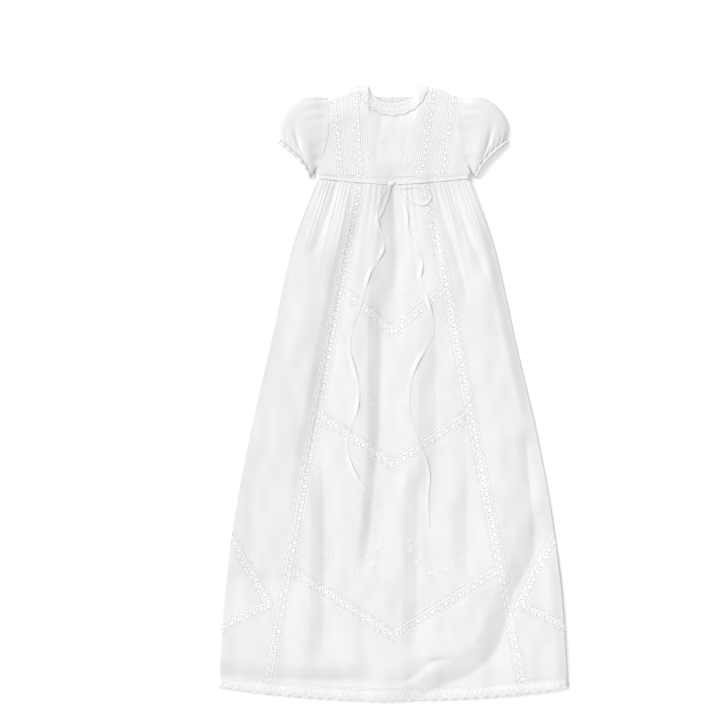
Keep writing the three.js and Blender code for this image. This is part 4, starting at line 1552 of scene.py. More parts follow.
def swept_threads(threads: Threads, period: float, count: int) -> tuple[Array, Array]:
    """Carry a flat diamond section along every path of every repeat.

    Args:
        threads: The paths of one repeat.
        period: Length of the repeat.
        count: Number of repeats.

    Returns:
        Points as (along, across, lift) rows, and quads.
    """
    shift = np.zeros((count, 1, 1, 3))
    shift[:, 0, 0, 0] = period * np.arange(count)
    paths = (threads.paths[None] + shift).reshape(-1, *threads.paths.shape[1:])
    ahead = np.gradient(paths, axis=1)[..., :2]
    ahead = ahead / np.maximum(np.linalg.norm(ahead, axis=-1, keepdims=True), 1e-12)
    aside = np.stack([-ahead[..., 1], ahead[..., 0]], axis=-1)
    offsets = threads.width * np.array([0.5, 0.0, -0.5, 0.0])
    lifts = threads.thickness * np.array([0.03, 0.08, 0.03, -0.06])
    points = np.repeat(paths[:, :, None, :], 4, axis=2)
    points[..., :2] += aside[:, :, None, :] * offsets[None, None, :, None]
    points[..., 2] += lifts
    lines, steps = paths.shape[:2]
    line = np.arange(lines)[:, None, None] * steps * 4
    step = np.arange(steps - 1)[None, :, None] * 4
    corner = np.arange(4)[None, None, :]
    after = (corner + 1) % 4
    start = line + step
    corners = [start + corner, start + after, start + 4 + after, start + 4 + corner]
    walls = np.stack(corners, axis=-1).reshape(-1, 4)
    first = line[:, 0] + np.array([3, 2, 1, 0])
    last = line[:, 0] + (steps - 1) * 4 + np.array([0, 1, 2, 3])
    return points.reshape(-1, 3), np.concatenate([walls, first, last])


def domed_solids(solids: Array, thickness: float, around: int = 10) -> tuple[Array, list[Array]]:
    """Make each solid a closed lens: an oval rim with a dome above it and a point below.

    Args:
        solids: Rows of along, across, half length, half width and turn.
        thickness: Height of the dome.
        around: Points round the rim.

    Returns:
        Points as (along, across, lift) rows, and faces.
    """
    angle = np.arange(around) * TURN / around
    ring = np.stack([np.cos(angle), np.sin(angle)], axis=1)
    unit = np.concatenate([ring, 0.62 * ring, np.zeros((2, 2))])
    lift = thickness * np.concatenate([np.full(around, 0.3), np.full(around, 0.82), [1.0, 0.0]])
    sized = unit[None] * solids[:, None, 2:4]
    cos, sin = np.cos(solids[:, 4])[:, None], np.sin(solids[:, 4])[:, None]
    along = solids[:, None, 0] + cos * sized[..., 0] - sin * sized[..., 1]
    across = solids[:, None, 1] + sin * sized[..., 0] + cos * sized[..., 1]
    points = np.stack([along, across, np.broadcast_to(lift, along.shape)], axis=-1)
    here = np.arange(around)
    after = (here + 1) % around
    belt = np.stack([here, after, around + after, around + here], axis=1)
    dome = np.stack([around + here, around + after, np.full(around, 2 * around)], axis=1)
    base = np.stack([after, here, np.full(around, 2 * around + 1)], axis=1)
    start = (np.arange(len(solids)) * unit.shape[0])[:, None, None]
    faces = [(part[None] + start).reshape(-1, part.shape[1]) for part in (belt, dome, base)]
    return points.reshape(-1, 3), faces


@dataclass
class LaceRun:
    """A length of lace along a line seen from above."""

    pattern: LacePattern
    line: Array
    lay: Callable[[Array, Array, Array], Array]
    region: Region | None = None

    def placed(self, local: Array) -> Array:
        """Bring (along, across, lift) rows to the gown, by the line's points and its left-hand sides.

        Args:
            local: The rows.

        Returns:
            Points on the gown.
        """
        run = lengthwise(self.line)
        ahead = headings(self.line)
        at = local[:, 0]
        x = np.interp(at, run, self.line[:, 0]) - local[:, 1] * np.interp(at, run, ahead[:, 1])
        y = np.interp(at, run, self.line[:, 1]) + local[:, 1] * np.interp(at, run, ahead[:, 0])
        return self.lay(x, y, local[:, 2])

    def shell(self) -> Shell:
        """Work out the lace: its threads and solids, cut to its region."""
        length = lengthwise(self.line)[-1]
        count = max(1, round(length / self.pattern.period))
        stretch = np.array([length / (count * self.pattern.period), 1.0, 1.0])
        shells = []
        for threads in self.pattern.threads:
            local, quads = swept_threads(threads, self.pattern.period, count)
            shells.append(Shell(self.placed(local * stretch), [quads], local[:, :2]))
        repeats = np.zeros((count, 1, 5))
        repeats[:, 0, 0] = self.pattern.period * np.arange(count)
        solids = (self.pattern.solids[None] + repeats).reshape(-1, 5)
        local, faces = domed_solids(solids, self.pattern.solid_thickness)
        shells.append(Shell(self.placed(local * stretch), faces, local[:, :2]))
        whole = Shell.joined(shells)
        return whole.within(self.region) if self.region else whole


@dataclass
class LaceWork:
    """All the lace of the gown: insertions, beading, hem and collar."""

    plan: GownPlan
    surface: FrontSurface
    finish: Material
    net_shade_finish: Material
    overlap: float = 0.5 * MM
    ring: float = 11.5 * MM
    bodice_ring: float = 9 * MM
    line_step: float = 4 * MM
    ground_drop: float = 0.03 * MM
    ground_wall: float = 0.3 * MM
    hem_scallops: int = 34
    hem_scallop_depth: float = 2.4 * MM
    collar_half: float = 0.048
    collar_depth: float = 0.043
    collar_sweep: float = np.radians(89.0)
    collar_scallops: int = 9
    collar_scallop_depth: float = 1.8 * MM
    net_step: float = 2.5 * MM
    collar_lift: float = 0.9 * MM
    back_lift: float = 0.6 * MM
    diamond_slack: float = 0.4 * MM
    strip_foot: float = 0.18
    strip_head: float = 0.046
    arm_reach: float = 1.15
    arm_back: float = 10 * MM

    def straight(self, start: tuple[float, float], end: tuple[float, float]) -> Array:
        """Points along a straight line."""
        count = max(2, round(np.hypot(end[0] - start[0], end[1] - start[1]) / self.line_step))
        return np.linspace(start, end, count)

    def steps(self, ground: PlanFunction) -> tuple[int, int]:
        """Columns and rows that give a net a fine enough grid."""
        wide, long = cut_size(np.stack(ground(*shares(40, 40)), axis=-1))
        return max(12, round(wide / self.net_step)), max(12, round(long / self.net_step))

    def piece(self, node: str, runs: list[LaceRun], ground: PlanFunction, *trims: Piece) -> None:
        """Make one lace: its fine net as a thin opaque sheet, whose colour carries painted shade, and the
        threads worked on it.

        Args:
            node: The CAD node that the lace stands for.
            runs: The lengths of its pattern.
            ground: Gives the net's place seen from above, from two shares from 0 to 1.
            trims: What is drawn through the lace.
        """
        worked = Shell.joined([run.shell() for run in runs])
        threads = make_piece(node + "_thread", worked, self.finish, "lace")
        weigh_normals(threads)
        x, y = ground(*shares(*self.steps(ground)))
        grid = runs[0].lay(x, y, np.full_like(x, -self.ground_drop))
        shell = Shell.of_grid(grid)
        # Painted shade: the opaque net sheet's colour stands for the shade seen through the holes of real
        # lace.
        net_sheet = make_piece(node + "_net", shell, self.net_shade_finish, "lace", node)
        thicken(net_sheet, self.ground_wall)
        declare_sheet(net_sheet, node, grid, shell, Hold.LAID, threads, *trims)

    def long_strips(self) -> None:
        """Lay the two long strips from the waist to the hem."""
        plan = self.plan
        half = 0.5 * plan.lace + self.overlap
        pattern = insertion(half, self.ring)
        for side in Side:
            sign = side.value
            low = float(plan.hem_seam(self.strip_foot)) - 1 * MM
            high = float(plan.skirt_top(self.strip_head)) + 1 * MM
            ends = [(sign * float(plan.strip(np.array(y), sign)), y) for y in (low, high)]

            def ground(u: Array, v: Array, sign: int = sign) -> Place:
                """Go across the strip and up from the hem."""
                y = between(low, high, v)
                return sign * plan.strip(y, sign) + between(-half, half, u), y

            run = LaceRun(pattern, self.straight(*ends), self.surface.lay)
            self.piece("lace_strip_" + side.word, [run], ground)

    def chevrons(self) -> None:
        """Lay the chevrons of the centre panel, their two arms mitred at the tip."""
        plan = self.plan
        half = 0.5 * plan.lace + self.overlap
        pattern = insertion(half, self.ring)
        for chevron in plan.chevrons:
            runs = []
            end_y = np.array(chevron.tip + chevron.rise)
            slope = chevron.rise / float(plan.centre_half(end_y, 1))
            for side in Side:
                reach = self.arm_reach * float(plan.centre_half(end_y, side.value))
                rise = self.arm_reach * chevron.rise
                start = (-side.value * self.arm_back, chevron.tip - self.arm_back * rise / reach)

                def inside(x: Array, y: Array, sign: int = side.value) -> Array:
                    """One half of the centre panel."""
                    return (sign * x > 0.0) & (np.abs(x) < plan.centre_half(y, x) + 0.6 * MM)

                line = self.straight(start, (side.value * reach, chevron.tip + rise))
                runs.append(LaceRun(pattern, line, self.surface.lay, inside))

            wide = half * np.hypot(1.0, slope)
            edges = [lambda n, way=way: chevron.line(n) + way * wide for way in (-1, 1)]
            self.piece("lace_chevron_" + chevron.word, runs, plan.centre_part(*edges))

    def diamonds(self) -> None:
        """Lay the half diamonds of the side panels, their arms mitred beside the long strips."""
        plan = self.plan
        pattern = insertion(0.5 * plan.lace + self.overlap, self.ring)
        slack = self.diamond_slack
        share = np.linspace(-0.15, 1.15, 24)
        arms = {
            "upper": plan.upper_arm(share) - 0.5 * plan.upper_arm_rise,
            "lower": plan.lower_arm(share) + 0.5 * plan.lower_arm_rise,
        }
        for side in Side:
            for word, y in arms.items():
                x = between(plan.side_start(y, side.value), plan.skirt_half(y), share)

                def inside(x: Array, y: Array, upper: bool = word == "upper") -> Array:
                    """The side panel, above or below the mitre."""
                    over = y > plan.mitre(plan.side_share(x, y))
                    beyond_strip = np.abs(x) > plan.side_start(y, x) - 0.6 * MM
                    within = np.abs(x) < plan.skirt_half(y) - 0.5 * MM
                    return (over if upper else ~over) & beyond_strip & within

                def inner(out: Array, upper: bool = word == "upper") -> Array:
                    """Inner edge of the arm, cut to the mitre beside the strip."""
                    low = plan.upper_arm(out) - plan.upper_arm_rise - slack
                    high = plan.lower_arm(out) + plan.lower_arm_rise + slack
                    return np.where(out < plan.mitre_end(), plan.mitre(out), low if upper else high)

                edges = (inner, lambda out: plan.upper_arm(out) + slack)
                if word == "lower":
                    edges = (lambda out: plan.lower_arm(out) - slack, inner)
                line = np.stack([side.value * x, y], axis=1)
                node = "lace_diamond_" + word + "_" + side.word
                run = LaceRun(pattern, line, self.surface.lay, inside)
                self.piece(node, [run], plan.side_part(side, *edges))

    def bodice(self) -> None:
        """Lay the four strips of the bodice, from the waist to the shoulders."""
        plan = self.plan
        half = 0.5 * plan.bodice_lace + self.overlap
        pattern = insertion(half, self.bodice_ring)

        def inside(x: Array, y: Array) -> Array:
            """The bodice from its foot to its top."""
            return (y > plan.bodice_foot(x) - 1 * MM) & (y < plan.bodice_top(x) - 0.5 * MM)

        for side in Side:
            for number, word in enumerate(("inner", "outer")):

                def across(y: Array, u: Array, number: int = number, sign: int = side.value) -> Array:
                    """Place across the strip."""
                    return sign * plan.bodice_strip(number, y, sign) + between(-half, half, u)

                ends = [(float(across(np.array(y), 0.5)), y) for y in (plan.waist_y, plan.neck_y)]
                run = LaceRun(pattern, self.straight(*ends), self.surface.lay, inside)
                ground = plan.bodice_part(across, plan.shoulder_y)
                self.piece("lace_bodice_" + word + "_" + side.word, [run], ground)

    def waist(self, ribbons: list[Piece]) -> None:
        """Lay the beading along the waist, with the ribbon drawn through it.

        Args:
            ribbons: The sash and the bow.
        """
        plan = self.plan
        x = np.linspace(-plan.waist_half, plan.waist_half, 60)
        line = np.stack([x, plan.waist(x)], axis=1)

        def ground(u: Array, v: Array) -> Place:
            """Go along the waist and up across the beading."""
            across = between(-plan.waist_half, plan.waist_half, u)
            reach = plan.band_half + self.overlap
            return across, plan.waist(across) + between(-reach, reach, v)

        run = LaceRun(beading(plan.band_half), line, self.surface.lay)
        self.piece("waistband_front", [run], ground, *ribbons)

    def hem(self) -> None:
        """Lay the edging round the hem, on the front and flat under it on the back."""
        plan = self.plan

        def flat(x: Array, y: Array, lift: Array) -> Array:
            """Points just above the surface that the gown lies on."""
            return np.stack([x, y, lift + self.back_lift], axis=-1)

        for word, inset, lay in (("front", 0.0, self.surface.lay), ("back", plan.back_inset, flat)):
            half = plan.hem_half - inset - 0.5 * MM
            x = np.linspace(-half, half, 120)
            line = np.stack([x, plan.hem_edge(x) + 0.5 * plan.hem_lace], axis=1)
            period = lengthwise(line)[-1] / self.hem_scallops
            pattern = edging(0.5 * plan.hem_lace + 0.3 * MM, period, self.hem_scallop_depth)

            def ground(u: Array, v: Array, half: float = half) -> Place:
                """Go along the hem and up from its scallops."""
                across = between(-half, half, u)
                notch = scallop(self.hem_scallop_depth, self.hem_scallops * u)
                low = plan.hem_edge(across) + notch + 0.4 * MM
                return across, between(low, plan.hem_seam(across) + 0.4 * MM, v)

            self.piece("lace_hem_" + word, [LaceRun(pattern, line, lay)], ground)

    def collar(self) -> None:
        """Lay the edging round the front of the neck, on the bodice."""
        plan = self.plan
        turn = np.linspace(-self.collar_sweep, self.collar_sweep, 80)
        half = 0.5 * (plan.neck_half + self.collar_half)
        depth = 0.5 * (plan.front_neck_depth + self.collar_depth)
        line = np.stack([half * np.sin(turn), plan.neck_y - depth * np.cos(turn)], axis=1)
        period = lengthwise(line)[-1] / self.collar_scallops
        pattern = edging(0.5 * (self.collar_half - plan.neck_half), period, self.collar_scallop_depth)

        def raised(x: Array, y: Array, lift: Array) -> Array:
            """Points on the front, raised so that the collar lies over the bodice and its lace."""
            return self.surface.lay(x, y, lift + self.collar_lift)

        def ground(u: Array, v: Array) -> Place:
            """Go round the neck and in from the scallops."""
            bearing = between(-self.collar_sweep, self.collar_sweep, u)
            notch = scallop(self.collar_scallop_depth, self.collar_scallops * u)
            wide = between(self.collar_half - notch, plan.neck_half, v)
            deep = between(self.collar_depth - notch, plan.front_neck_depth, v)
            return wide * np.sin(bearing), plan.neck_y - deep * np.cos(bearing)

        self.piece("lace_collar", [LaceRun(pattern, line, raised)], ground)


@dataclass
class Sleeves:
    """Short puff sleeves gathered at the armhole and into a narrow bound cuff.

    A sleeve's section runs from its cap to its underarm. It is a flat floor with a dome over it, whose
    height is a power of the sine of the way round.
    """

    surface: FrontSurface
    finish: Material
    along: tuple[float, ...] = (0.0, 0.2, 0.4, 0.6, 0.8, 1.0)
    cap_x: tuple[float, ...] = (0.0930, 0.124, 0.142, 0.156, 0.162, 0.159)
    cap_y: tuple[float, ...] = (0.414, 0.414, 0.404, 0.388, 0.370, 0.354)
    under_x: tuple[float, ...] = (0.1075, 0.110, 0.111, 0.1125, 0.113, 0.1135)
    under_y: tuple[float, ...] = (0.309, 0.308, 0.306, 0.3045, 0.304, 0.303)
    hollow: tuple[float, ...] = (0.010, 0.007, 0.004, 0.004, 0.005, 0.007)
    height: tuple[float, ...] = (0.0088, 0.0096, 0.0101, 0.0102, 0.0097, 0.0088)
    gathers: int = 7
    gather_depth: float = 0.6 * MM
    roundness: float = 0.33
    over: float = 0.7
    crease_depth: float = 1.6 * MM
    swell_height: float = 1.4 * MM
    seam_run: float = 0.15
    seam_lift: float = 0.2 * MM
    seam_step: float = 0.6 * MM
    cuff_rows: int = 8
    cuff_gap: float = 0.2 * MM
    cuff_bulge: float = 0.9 * MM
    cuff_wall: float = 1.0 * MM
    cuff_width: float = 4.6 * MM
    cloth: float = 0.5 * MM
    around: int = 150
    rows: int = 60

    def section(self, column: tuple[float, ...], t: Array) -> Array:
        """Read one column of the sections' table."""
        return smooth_table(np.array(self.along), np.array(column), t)

    def ring(self, t: Array, way: Array, sign: int, outset: float) -> Array:
        """Points of the sleeve.

        Args:
            t: From the armhole at 0 to the cuff at 1.
            way: Once round, from 0 at the cap over the dome to the underarm and back on the floor.
            sign: The side.
            outset: How far out of the mouth the ring is moved.

        Returns:
            The points.
        """
        turn = np.where(way < self.over, way / self.over, (1.0 - way) / (1.0 - self.over)) * np.pi
        share = 0.5 - 0.5 * np.cos(turn)
        cap_x, cap_y, under_x, under_y, hollow, height = (
            self.section(column, t)
            for column in (self.cap_x, self.cap_y, self.under_x, self.under_y, self.hollow, self.height)
        )
        at_ends = np.exp(-((t / 0.22) ** 2)) + np.exp(-(((1.0 - t) / 0.22) ** 2))
        wobble = 0.7 + 0.3 * np.sin(9.0 * share + 2.0 * t)
        folds = np.cos(TURN * self.gathers * share + 2.2 * np.sin(5.0 * share)) - 0.3
        off_crease = ((t - 0.62 - 0.5 * (share - 0.45)) / 0.07) ** 2 + ((share - 0.42) / 0.16) ** 2
        off_swell = ((t - 0.42) / 0.18) ** 2 + ((share - 0.62) / 0.2) ** 2
        uneven = self.swell_height * np.exp(-off_swell) - self.crease_depth * np.exp(-off_crease)
        dome = np.sin(turn) ** self.roundness
        z = dome * (height + self.gather_depth * at_ends * wobble * folds + uneven)
        x = between(cap_x, under_x, share) - hollow * 4.0 * share * (1.0 - share)
        y = between(cap_y, under_y, share)
        seam = self.surface.height(sign * x, y) + self.seam_lift
        seam = np.maximum(np.minimum(seam, z + self.seam_step), 0.5 * z)
        z = between(seam, z, ease(t, 0.0, self.seam_run))
        run_x, run_y = self.under_x[-1] - self.cap_x[-1], self.under_y[-1] - self.cap_y[-1]
        run = np.hypot(run_x, run_y)
        x = x - outset * run_y / run
        y = y + outset * run_x / run
        z = np.where(way < self.over, np.maximum(z, 0.0), 0.0)
        return np.stack([sign * x, y, z], axis=-1)

    def build(self) -> None:
        """Make both sleeves and their cuffs."""
        way = np.arange(self.around) / self.around
        for side in Side:
            order = way if side is Side.RIGHT else way[::-1]
            t, ring = np.meshgrid(np.linspace(0, 1, self.rows + 1), order, indexing="ij")
            grid = self.ring(t, ring, side.value, 0.0)
            flat = np.stack([ring * 0.2, t * 0.07], axis=-1).reshape(-1, 2)
            shell = Shell(grid.reshape(-1, 3), [grid_quads(self.around, self.rows, closed=True)], flat)
            node = "sleeve_" + side.word
            sleeve = make_piece(node + "_lawn", shell, self.finish, "lawn", node)
            thicken(sleeve, self.cloth)
            closed = np.concatenate([grid, grid[:, :1]], axis=1)
            declare_sheet(sleeve, sleeve.name, closed, shell, Hold.GATHERED, self.cuff(side, order))

    def cuff(self, side: Side, order: Array) -> Piece:
        """Make a cuff: the mouth's ring carried outwards as a rounded band.

        Args:
            side: The side.
            order: Shares of the way round, in the order of the points.

        Returns:
            The cuff.
        """
        share = np.linspace(0.0, 1.0, self.cuff_rows + 1)
        rings = []
        for step in share:
            outset = self.cuff_gap + self.cuff_width * step
            ring = self.ring(np.ones_like(order), order, side.value, outset)
            ring[:, 2] += np.where(order < self.over, self.cuff_bulge * np.sin(np.pi * step), 0.0)
            rings.append(ring)
        around, along = np.meshgrid(order * 0.13, share * self.cuff_width)
        flat = np.stack([around, along], axis=-1).reshape(-1, 2)
        quads = grid_quads(len(order), self.cuff_rows, closed=True)
        shell = Shell(np.concatenate(rings), [quads], flat)
        node = "cuff_" + side.word
        piece = make_piece(node + "_lawn", shell, self.finish, "lawn", node)
        thicken(piece, self.cuff_wall)
        return piece


@dataclass(frozen=True)
class Twist:
    """A place where a ribbon tail tilts: how far along, over what length and by what angle."""

    at: float
    length: float
    angle: float


@dataclass
class Ribbons:
    """The satin ribbon: a sash along the waist, a bow and two free tails."""

    plan: GownPlan
    surface: FrontSurface
    finish: Material
    width: float = 6 * MM
    wall: float = 0.14 * MM
    lift: float = 0.10 * MM
    knot: tuple[float, float] = (-0.002, 0.293)
    knot_half: tuple[float, float, float] = (0.0040, 0.0032, 0.0011)
    sash_drop: float = 3 * MM
    sash_lift: float = 0.7 * MM
    knot_lift: float = 0.6 * MM
    sash_inset: float = 3 * MM
    sash_shown: float = 0.85
    sway: float = 0.02
    sway_length: float = 0.047
    flat_shown: float = 0.86
    full_turn: float = 0.15

    LEFT_TAIL = (
        (-0.004, 0.2905), (-0.017, 0.274), (-0.023, 0.257), (-0.024, 0.241), (-0.017, 0.224),
        (-0.014, 0.206), (-0.022, 0.186), (-0.034, 0.168), (-0.040, 0.146), (-0.049, 0.115),
        (-0.060, 0.082), (-0.061, 0.055), (-0.054, 0.028), (-0.049, 0.006), (-0.053, -0.028),
        (-0.064, -0.062), (-0.064, -0.086), (-0.054, -0.113), (-0.038, -0.136), (-0.020, -0.156),
    )
    RIGHT_TAIL = (
        (0.000, 0.2900), (0.012, 0.272), (0.018, 0.250), (0.020, 0.226), (0.032, 0.206),
        (0.039, 0.184), (0.037, 0.162), (0.044, 0.140), (0.053, 0.108), (0.055, 0.084),
        (0.046, 0.066), (0.031, 0.040), (0.023, 0.014), (0.021, -0.012), (0.026, -0.044),
        (0.036, -0.072), (0.045, -0.094), (0.049, -0.116), (0.047, -0.150), (0.049, -0.187),
    )
    LEFT_TWISTS = (
        Twist(0.057, 0.010, -0.165), Twist(0.082, 0.008, 0.105), Twist(0.102, 0.009, -0.180),
        Twist(0.142, 0.012, -0.150), Twist(0.205, 0.014, 0.075), Twist(0.272, 0.020, -0.150),
        Twist(0.326, 0.014, -0.105), Twist(0.360, 0.012, 0.090), Twist(0.420, 0.026, -0.105),
    )
    RIGHT_TWISTS = (
        Twist(0.050, 0.012, -0.120), Twist(0.100, 0.010, 0.090), Twist(0.129, 0.010, -0.180),
        Twist(0.152, 0.008, 0.090), Twist(0.180, 0.012, -0.150), Twist(0.222, 0.010, 0.075),
        Twist(0.265, 0.022, -0.150), Twist(0.340, 0.016, 0.075), Twist(0.425, 0.020, -0.135),
        Twist(0.470, 0.014, -0.090),
    )
    LEFT_LOOP = (
        (-0.004, 0.2915, 0.8), (-0.013, 0.281, 0.5), (-0.0195, 0.267, 0.4), (-0.0245, 0.253, 0.4),
        (-0.0235, 0.245, 0.4), (-0.0185, 0.248, 0.4), (-0.012, 0.264, 0.5), (-0.0025, 0.2925, 0.9),
    )
    RIGHT_LOOP = (
        (0.001, 0.2915, 0.8), (0.012, 0.2870, 0.6), (0.030, 0.2885, 0.6), (0.0445, 0.2845, 0.5),
        (0.0520, 0.2760, 0.4), (0.0480, 0.2665, 0.4), (0.0370, 0.2640, 0.4), (0.0240, 0.2715, 0.5),
        (0.0110, 0.2815, 0.7), (-0.001, 0.2920, 0.9),
    )

    def strip(self, name: str, centre: Array, across: Array, *nodes: str) -> Piece:
        """Make a ribbon that lies on the cloth.

        Each point of the ribbon lies on the cloth under it, raised as far as its middle line is raised
        and tilted as the ribbon is.

        Args:
            name: The piece's name.
            centre: Points of its middle line, their height taken from the cloth.
            across: Vectors across it, of the length of the ribbon's share that shows.
            nodes: The CAD nodes that it stands for.

        Returns:
            The ribbon.
        """
        columns = 6
        share = np.linspace(-0.5, 0.5, columns + 1)
        points = centre[:, None, :] + across[:, None, :] * (self.width * share)[None, :, None]
        points[..., 2] += self.surface.height(points[..., 0], points[..., 1])
        run = lengthwise(centre)
        flat = np.stack(np.broadcast_arrays((self.width * share)[None, :], run[:, None]), axis=-1)
        shell = Shell(points.reshape(-1, 3), [grid_quads(columns, len(centre) - 1)], flat.reshape(-1, 2))
        piece = make_piece(name, shell, self.finish, "satin", *nodes)
        thicken(piece, self.wall, 0.0)
        return piece

    def lying(self, centre: Array) -> Array:
        """Points of a middle line whose height was taken from the cloth, as they lie in space."""
        x, y, lift = centre.T
        return np.column_stack([x, y, lift + self.surface.height(x, y)])

    def across(self, centre: Array, turn: Array) -> Array:
        """Unit vectors across a ribbon: level ones to its right, raised by an angle.

        Args:
            centre: The ribbon's middle line.
            turn: The angle by which its right side is raised.

        Returns:
            One vector for each point.
        """
        aside = asides(headings(centre))
        aside = aside / np.linalg.norm(aside, axis=1, keepdims=True)
        return np.cos(turn)[:, None] * aside + np.sin(turn)[:, None] * np.array([0.0, 0.0, 1.0])

    def tail(
        self, side: Side, route: tuple[tuple[float, float], ...], twists: tuple[Twist, ...]
    ) -> None:
        """Lay a free tail along its route, tilted a little here and there.

        Args:
            side: Which tail it is.
            route: Points of its middle line seen from above.
            twists: Where it tilts.
        """
        line = smooth_route(np.array(route), 220)
        run = lengthwise(line)
        turn = self.sway * np.sin(TURN * run / self.sway_length + side.value)
        for twist in twists:
            turn = turn + twist.angle * np.exp(-(((run - twist.at) / twist.length) ** 2))
        z = self.lift + 0.5 * self.width * np.abs(np.sin(turn))
        centre = np.column_stack([line, z])
        shown = between(self.flat_shown, 1.0, np.clip(-turn / self.full_turn, 0.0, 1.0))
        node = "ribbon_tail_" + side.word
        across = shown[:, None] * self.across(line, turn)
        piece = self.strip(node + "_satin", centre, across, node)
        path = self.lying(centre)
        length = float(lengthwise(path)[-1])
        LOG.info("%s %.3f m", node, length)

    def sash(self) -> list[Piece]:
        """Lay the sash through the beading from each side to the knot, drooped a little at the knot."""
        pieces = []
        for side in Side:
            far = side.value * (self.plan.waist_half - self.sash_inset)
            near = self.knot[0] + side.value * self.plan.seam
            share = np.linspace(0.0, 1.0, 70)
            x = between(far, near, share)
            y = self.plan.waist(x) - self.sash_drop * share**2
            centre = np.column_stack([x, y, self.sash_lift + 0.1 * MM * np.sin(TURN * x / 0.031)])
            across = self.sash_shown * asides(headings(centre))
            node = "ribbon_sash_" + side.word
            pieces.append(self.strip(node + "_satin", centre, across, node))
        return pieces

    def loops(self) -> list[Piece]:
        """Make the bow's loops: closed bends of ribbon, lying nearly flat, widest half way round."""
        pieces = []
        leans = ((Side.LEFT, self.LEFT_LOOP, 0.06), (Side.RIGHT, self.RIGHT_LOOP, -0.10))
        for side, points, lean in leans:
            centre = smooth_route(np.array(points) * np.array([1.0, 1.0, MM]), 90)
            open_share = np.sin(np.pi * np.linspace(0.0, 1.0, len(centre))) ** 0.5
            across = self.across(centre, lean * open_share) * (0.5 + 0.25 * open_share)[:, None]
            node = "bow_loop_" + side.word
            pieces.append(self.strip(node + "_satin", centre, across, node))
        return pieces

    def tie(self) -> Piece:
        """Make the knot: a wrapped band, round from side to side and creased along its wraps."""
        columns, rows = 40, 20
        turn = np.arange(columns) * TURN / columns
        share = np.linspace(-1.0, 1.0, rows + 1)
        turn, share = np.meshgrid(turn, share)
        waist = np.sqrt(np.clip(1.0 - (0.96 * share) ** 2, 0.0, 1.0)) ** 0.7
        crease = 1.0 - 0.07 * np.abs(np.sin(3.0 * np.pi * share + 0.6 * np.sin(turn)))
        half_x, half_y, half_z = self.knot_half
        rest = float(self.surface.height(np.array(self.knot[0]), np.array(self.knot[1]))) + self.knot_lift
        points = np.stack(
            [
                self.knot[0] + half_x * share,
                self.knot[1] - half_y * waist * crease * np.cos(turn),
                rest + half_z * (1.0 + waist * crease * np.sin(turn)),
            ],
            axis=-1,
        ).reshape(-1, 3)
        flat = np.stack([turn * half_y, share * half_x], axis=-1).reshape(-1, 2)
        ends = np.array([np.arange(columns)[::-1], rows * columns + np.arange(columns)])
        shell = Shell(points, [grid_quads(columns, rows, closed=True)[:, ::-1], ends[:, ::-1]], flat)
        return make_piece("bow_knot_satin", shell, self.finish, "satin", "bow_knot")


@dataclass(frozen=True)
class Sprig:
    """An embroidered sprig: its place, the way it points and its size."""

    x: float
    y: float
    turn: float
    size: float


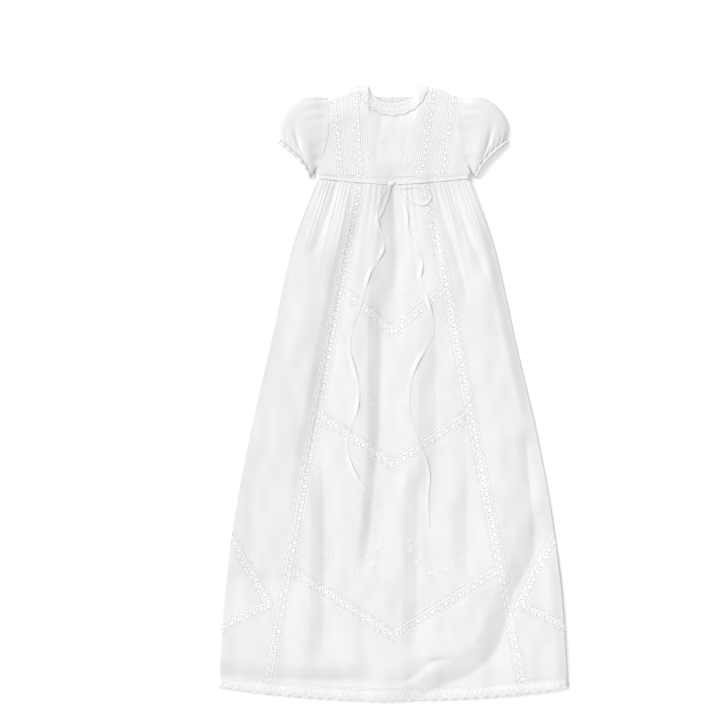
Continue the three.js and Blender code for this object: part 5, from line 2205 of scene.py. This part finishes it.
@dataclass
class Embroidery:
    """White sprigs worked in satin stitch on the bodice and the skirt's centre."""

    surface: FrontSurface
    finish: Material
    thickness: float = 0.12 * MM
    bodice: tuple[Sprig, ...] = (
        Sprig(-0.017, 0.347, 1.3, 1.6),
        Sprig(-0.015, 0.329, -0.6, 1.4),
        Sprig(-0.029, 0.330, 2.3, 1.4),
        Sprig(0.010, 0.336, 1.9, 1.5),
        Sprig(0.020, 0.322, 0.4, 1.3),
    )
    skirt: tuple[Sprig, ...] = (
        Sprig(-0.019, -0.212, 1.2, 2.1),
        Sprig(-0.030, -0.235, 2.2, 2.0),
        Sprig(-0.051, -0.250, 2.8, 1.8),
        Sprig(-0.014, -0.257, -1.2, 1.8),
        Sprig(0.024, -0.214, 1.7, 2.0),
        Sprig(0.036, -0.233, 0.8, 1.9),
        Sprig(0.056, -0.250, 0.3, 1.8),
        Sprig(0.078, -0.246, 0.1, 1.6),
        Sprig(0.100, -0.228, 0.6, 1.5),
        Sprig(-0.088, -0.228, 2.5, 1.5),
        Sprig(-0.072, -0.100, 2.2, 1.5),
        Sprig(-0.030, -0.012, 1.8, 1.5),
        Sprig(0.012, -0.020, 1.2, 1.5),
        Sprig(0.052, -0.004, 0.6, 1.4),
        Sprig(-0.020, 0.150, 1.9, 1.4),
        Sprig(0.016, 0.146, 1.1, 1.4),
    )

    def solids(self, sprig: Sprig) -> Array:
        """Leaves and petals of one sprig: a five-petalled flower on a stem with leaf pairs.

        Args:
            sprig: The sprig.

        Returns:
            A row for each: place, half sizes and turn.
        """
        petal = np.arange(5) * TURN / 5.0
        flower = np.stack(
            [
                3.4 + 1.1 * np.cos(petal),
                1.1 * np.sin(petal),
                np.full(5, 0.85),
                np.full(5, 0.6),
                petal,
            ],
            axis=1,
        )
        leaves = np.array(
            [
                [-1.6, 1.1, 1.4, 0.55, 0.9],
                [-1.0, -1.1, 1.4, 0.55, -0.9],
                [-3.4, 0.8, 1.2, 0.5, 0.7],
                [-3.0, -0.9, 1.2, 0.5, -0.8],
                [0.2, 0.0, 2.2, 0.22, 0.0],
                [-2.8, 0.0, 2.2, 0.22, 0.0],
            ]
        )
        local = np.concatenate([flower, leaves]) * np.array([sprig.size * MM] * 4 + [1.0])
        cos, sin = np.cos(sprig.turn), np.sin(sprig.turn)
        x = sprig.x + cos * local[:, 0] - sin * local[:, 1]
        y = sprig.y + sin * local[:, 0] + cos * local[:, 1]
        return np.column_stack([x, y, local[:, 2:4], local[:, 4] + sprig.turn])

    def build(self) -> dict[str, Piece]:
        """Work the sprigs of the bodice and of the skirt.

        Returns:
            The two pieces by the part they are worked on.
        """
        pieces = {}
        for word, sprigs in (("bodice", self.bodice), ("skirt", self.skirt)):
            solids = np.concatenate([self.solids(sprig) for sprig in sprigs])
            local, faces = domed_solids(solids, self.thickness)
            points = self.surface.lay(local[:, 0], local[:, 1], local[:, 2])
            shell = Shell(points, faces, local[:, :2])
            pieces[word] = make_piece("sprigs_" + word, shell, self.finish, "lace")
        return pieces


def main() -> None:
    """Dress the gown in order: camera, ribbon, sprigs, back, front, sleeves, lace, floor and light."""
    logging.basicConfig(level=logging.INFO, format="%(message)s")
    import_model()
    plan = GownPlan()
    surface = FrontSurface(plan)
    wardrobe = Wardrobe()
    studio = Studio()
    studio.place_camera()
    ribbons = Ribbons(plan, surface, wardrobe.satin)
    ribbons.tail(Side.LEFT, Ribbons.LEFT_TAIL, Ribbons.LEFT_TWISTS)
    ribbons.tail(Side.RIGHT, Ribbons.RIGHT_TAIL, Ribbons.RIGHT_TWISTS)
    bow = [*ribbons.sash(), *ribbons.loops(), ribbons.tie()]
    # The sprigs take the lace thread's colour, with its painted light.
    sprigs = Embroidery(surface, wardrobe.thread).build()
    BackPanels(plan, wardrobe.lawn).build()
    panels = FrontPanels(plan, surface, wardrobe.lawn)
    panels.centre(sprigs["skirt"])
    panels.sides()
    panels.bodice(sprigs["bodice"])
    Sleeves(surface, wardrobe.sleeve).build()
    lace = LaceWork(plan, surface, wardrobe.thread, wardrobe.net)
    lace.long_strips()
    lace.chevrons()
    lace.diamonds()
    lace.bodice()
    lace.waist(bow)
    lace.hem()
    lace.collar()
    studio.lay_floor()
    studio.light()


if __name__ == "__main__":
    main()
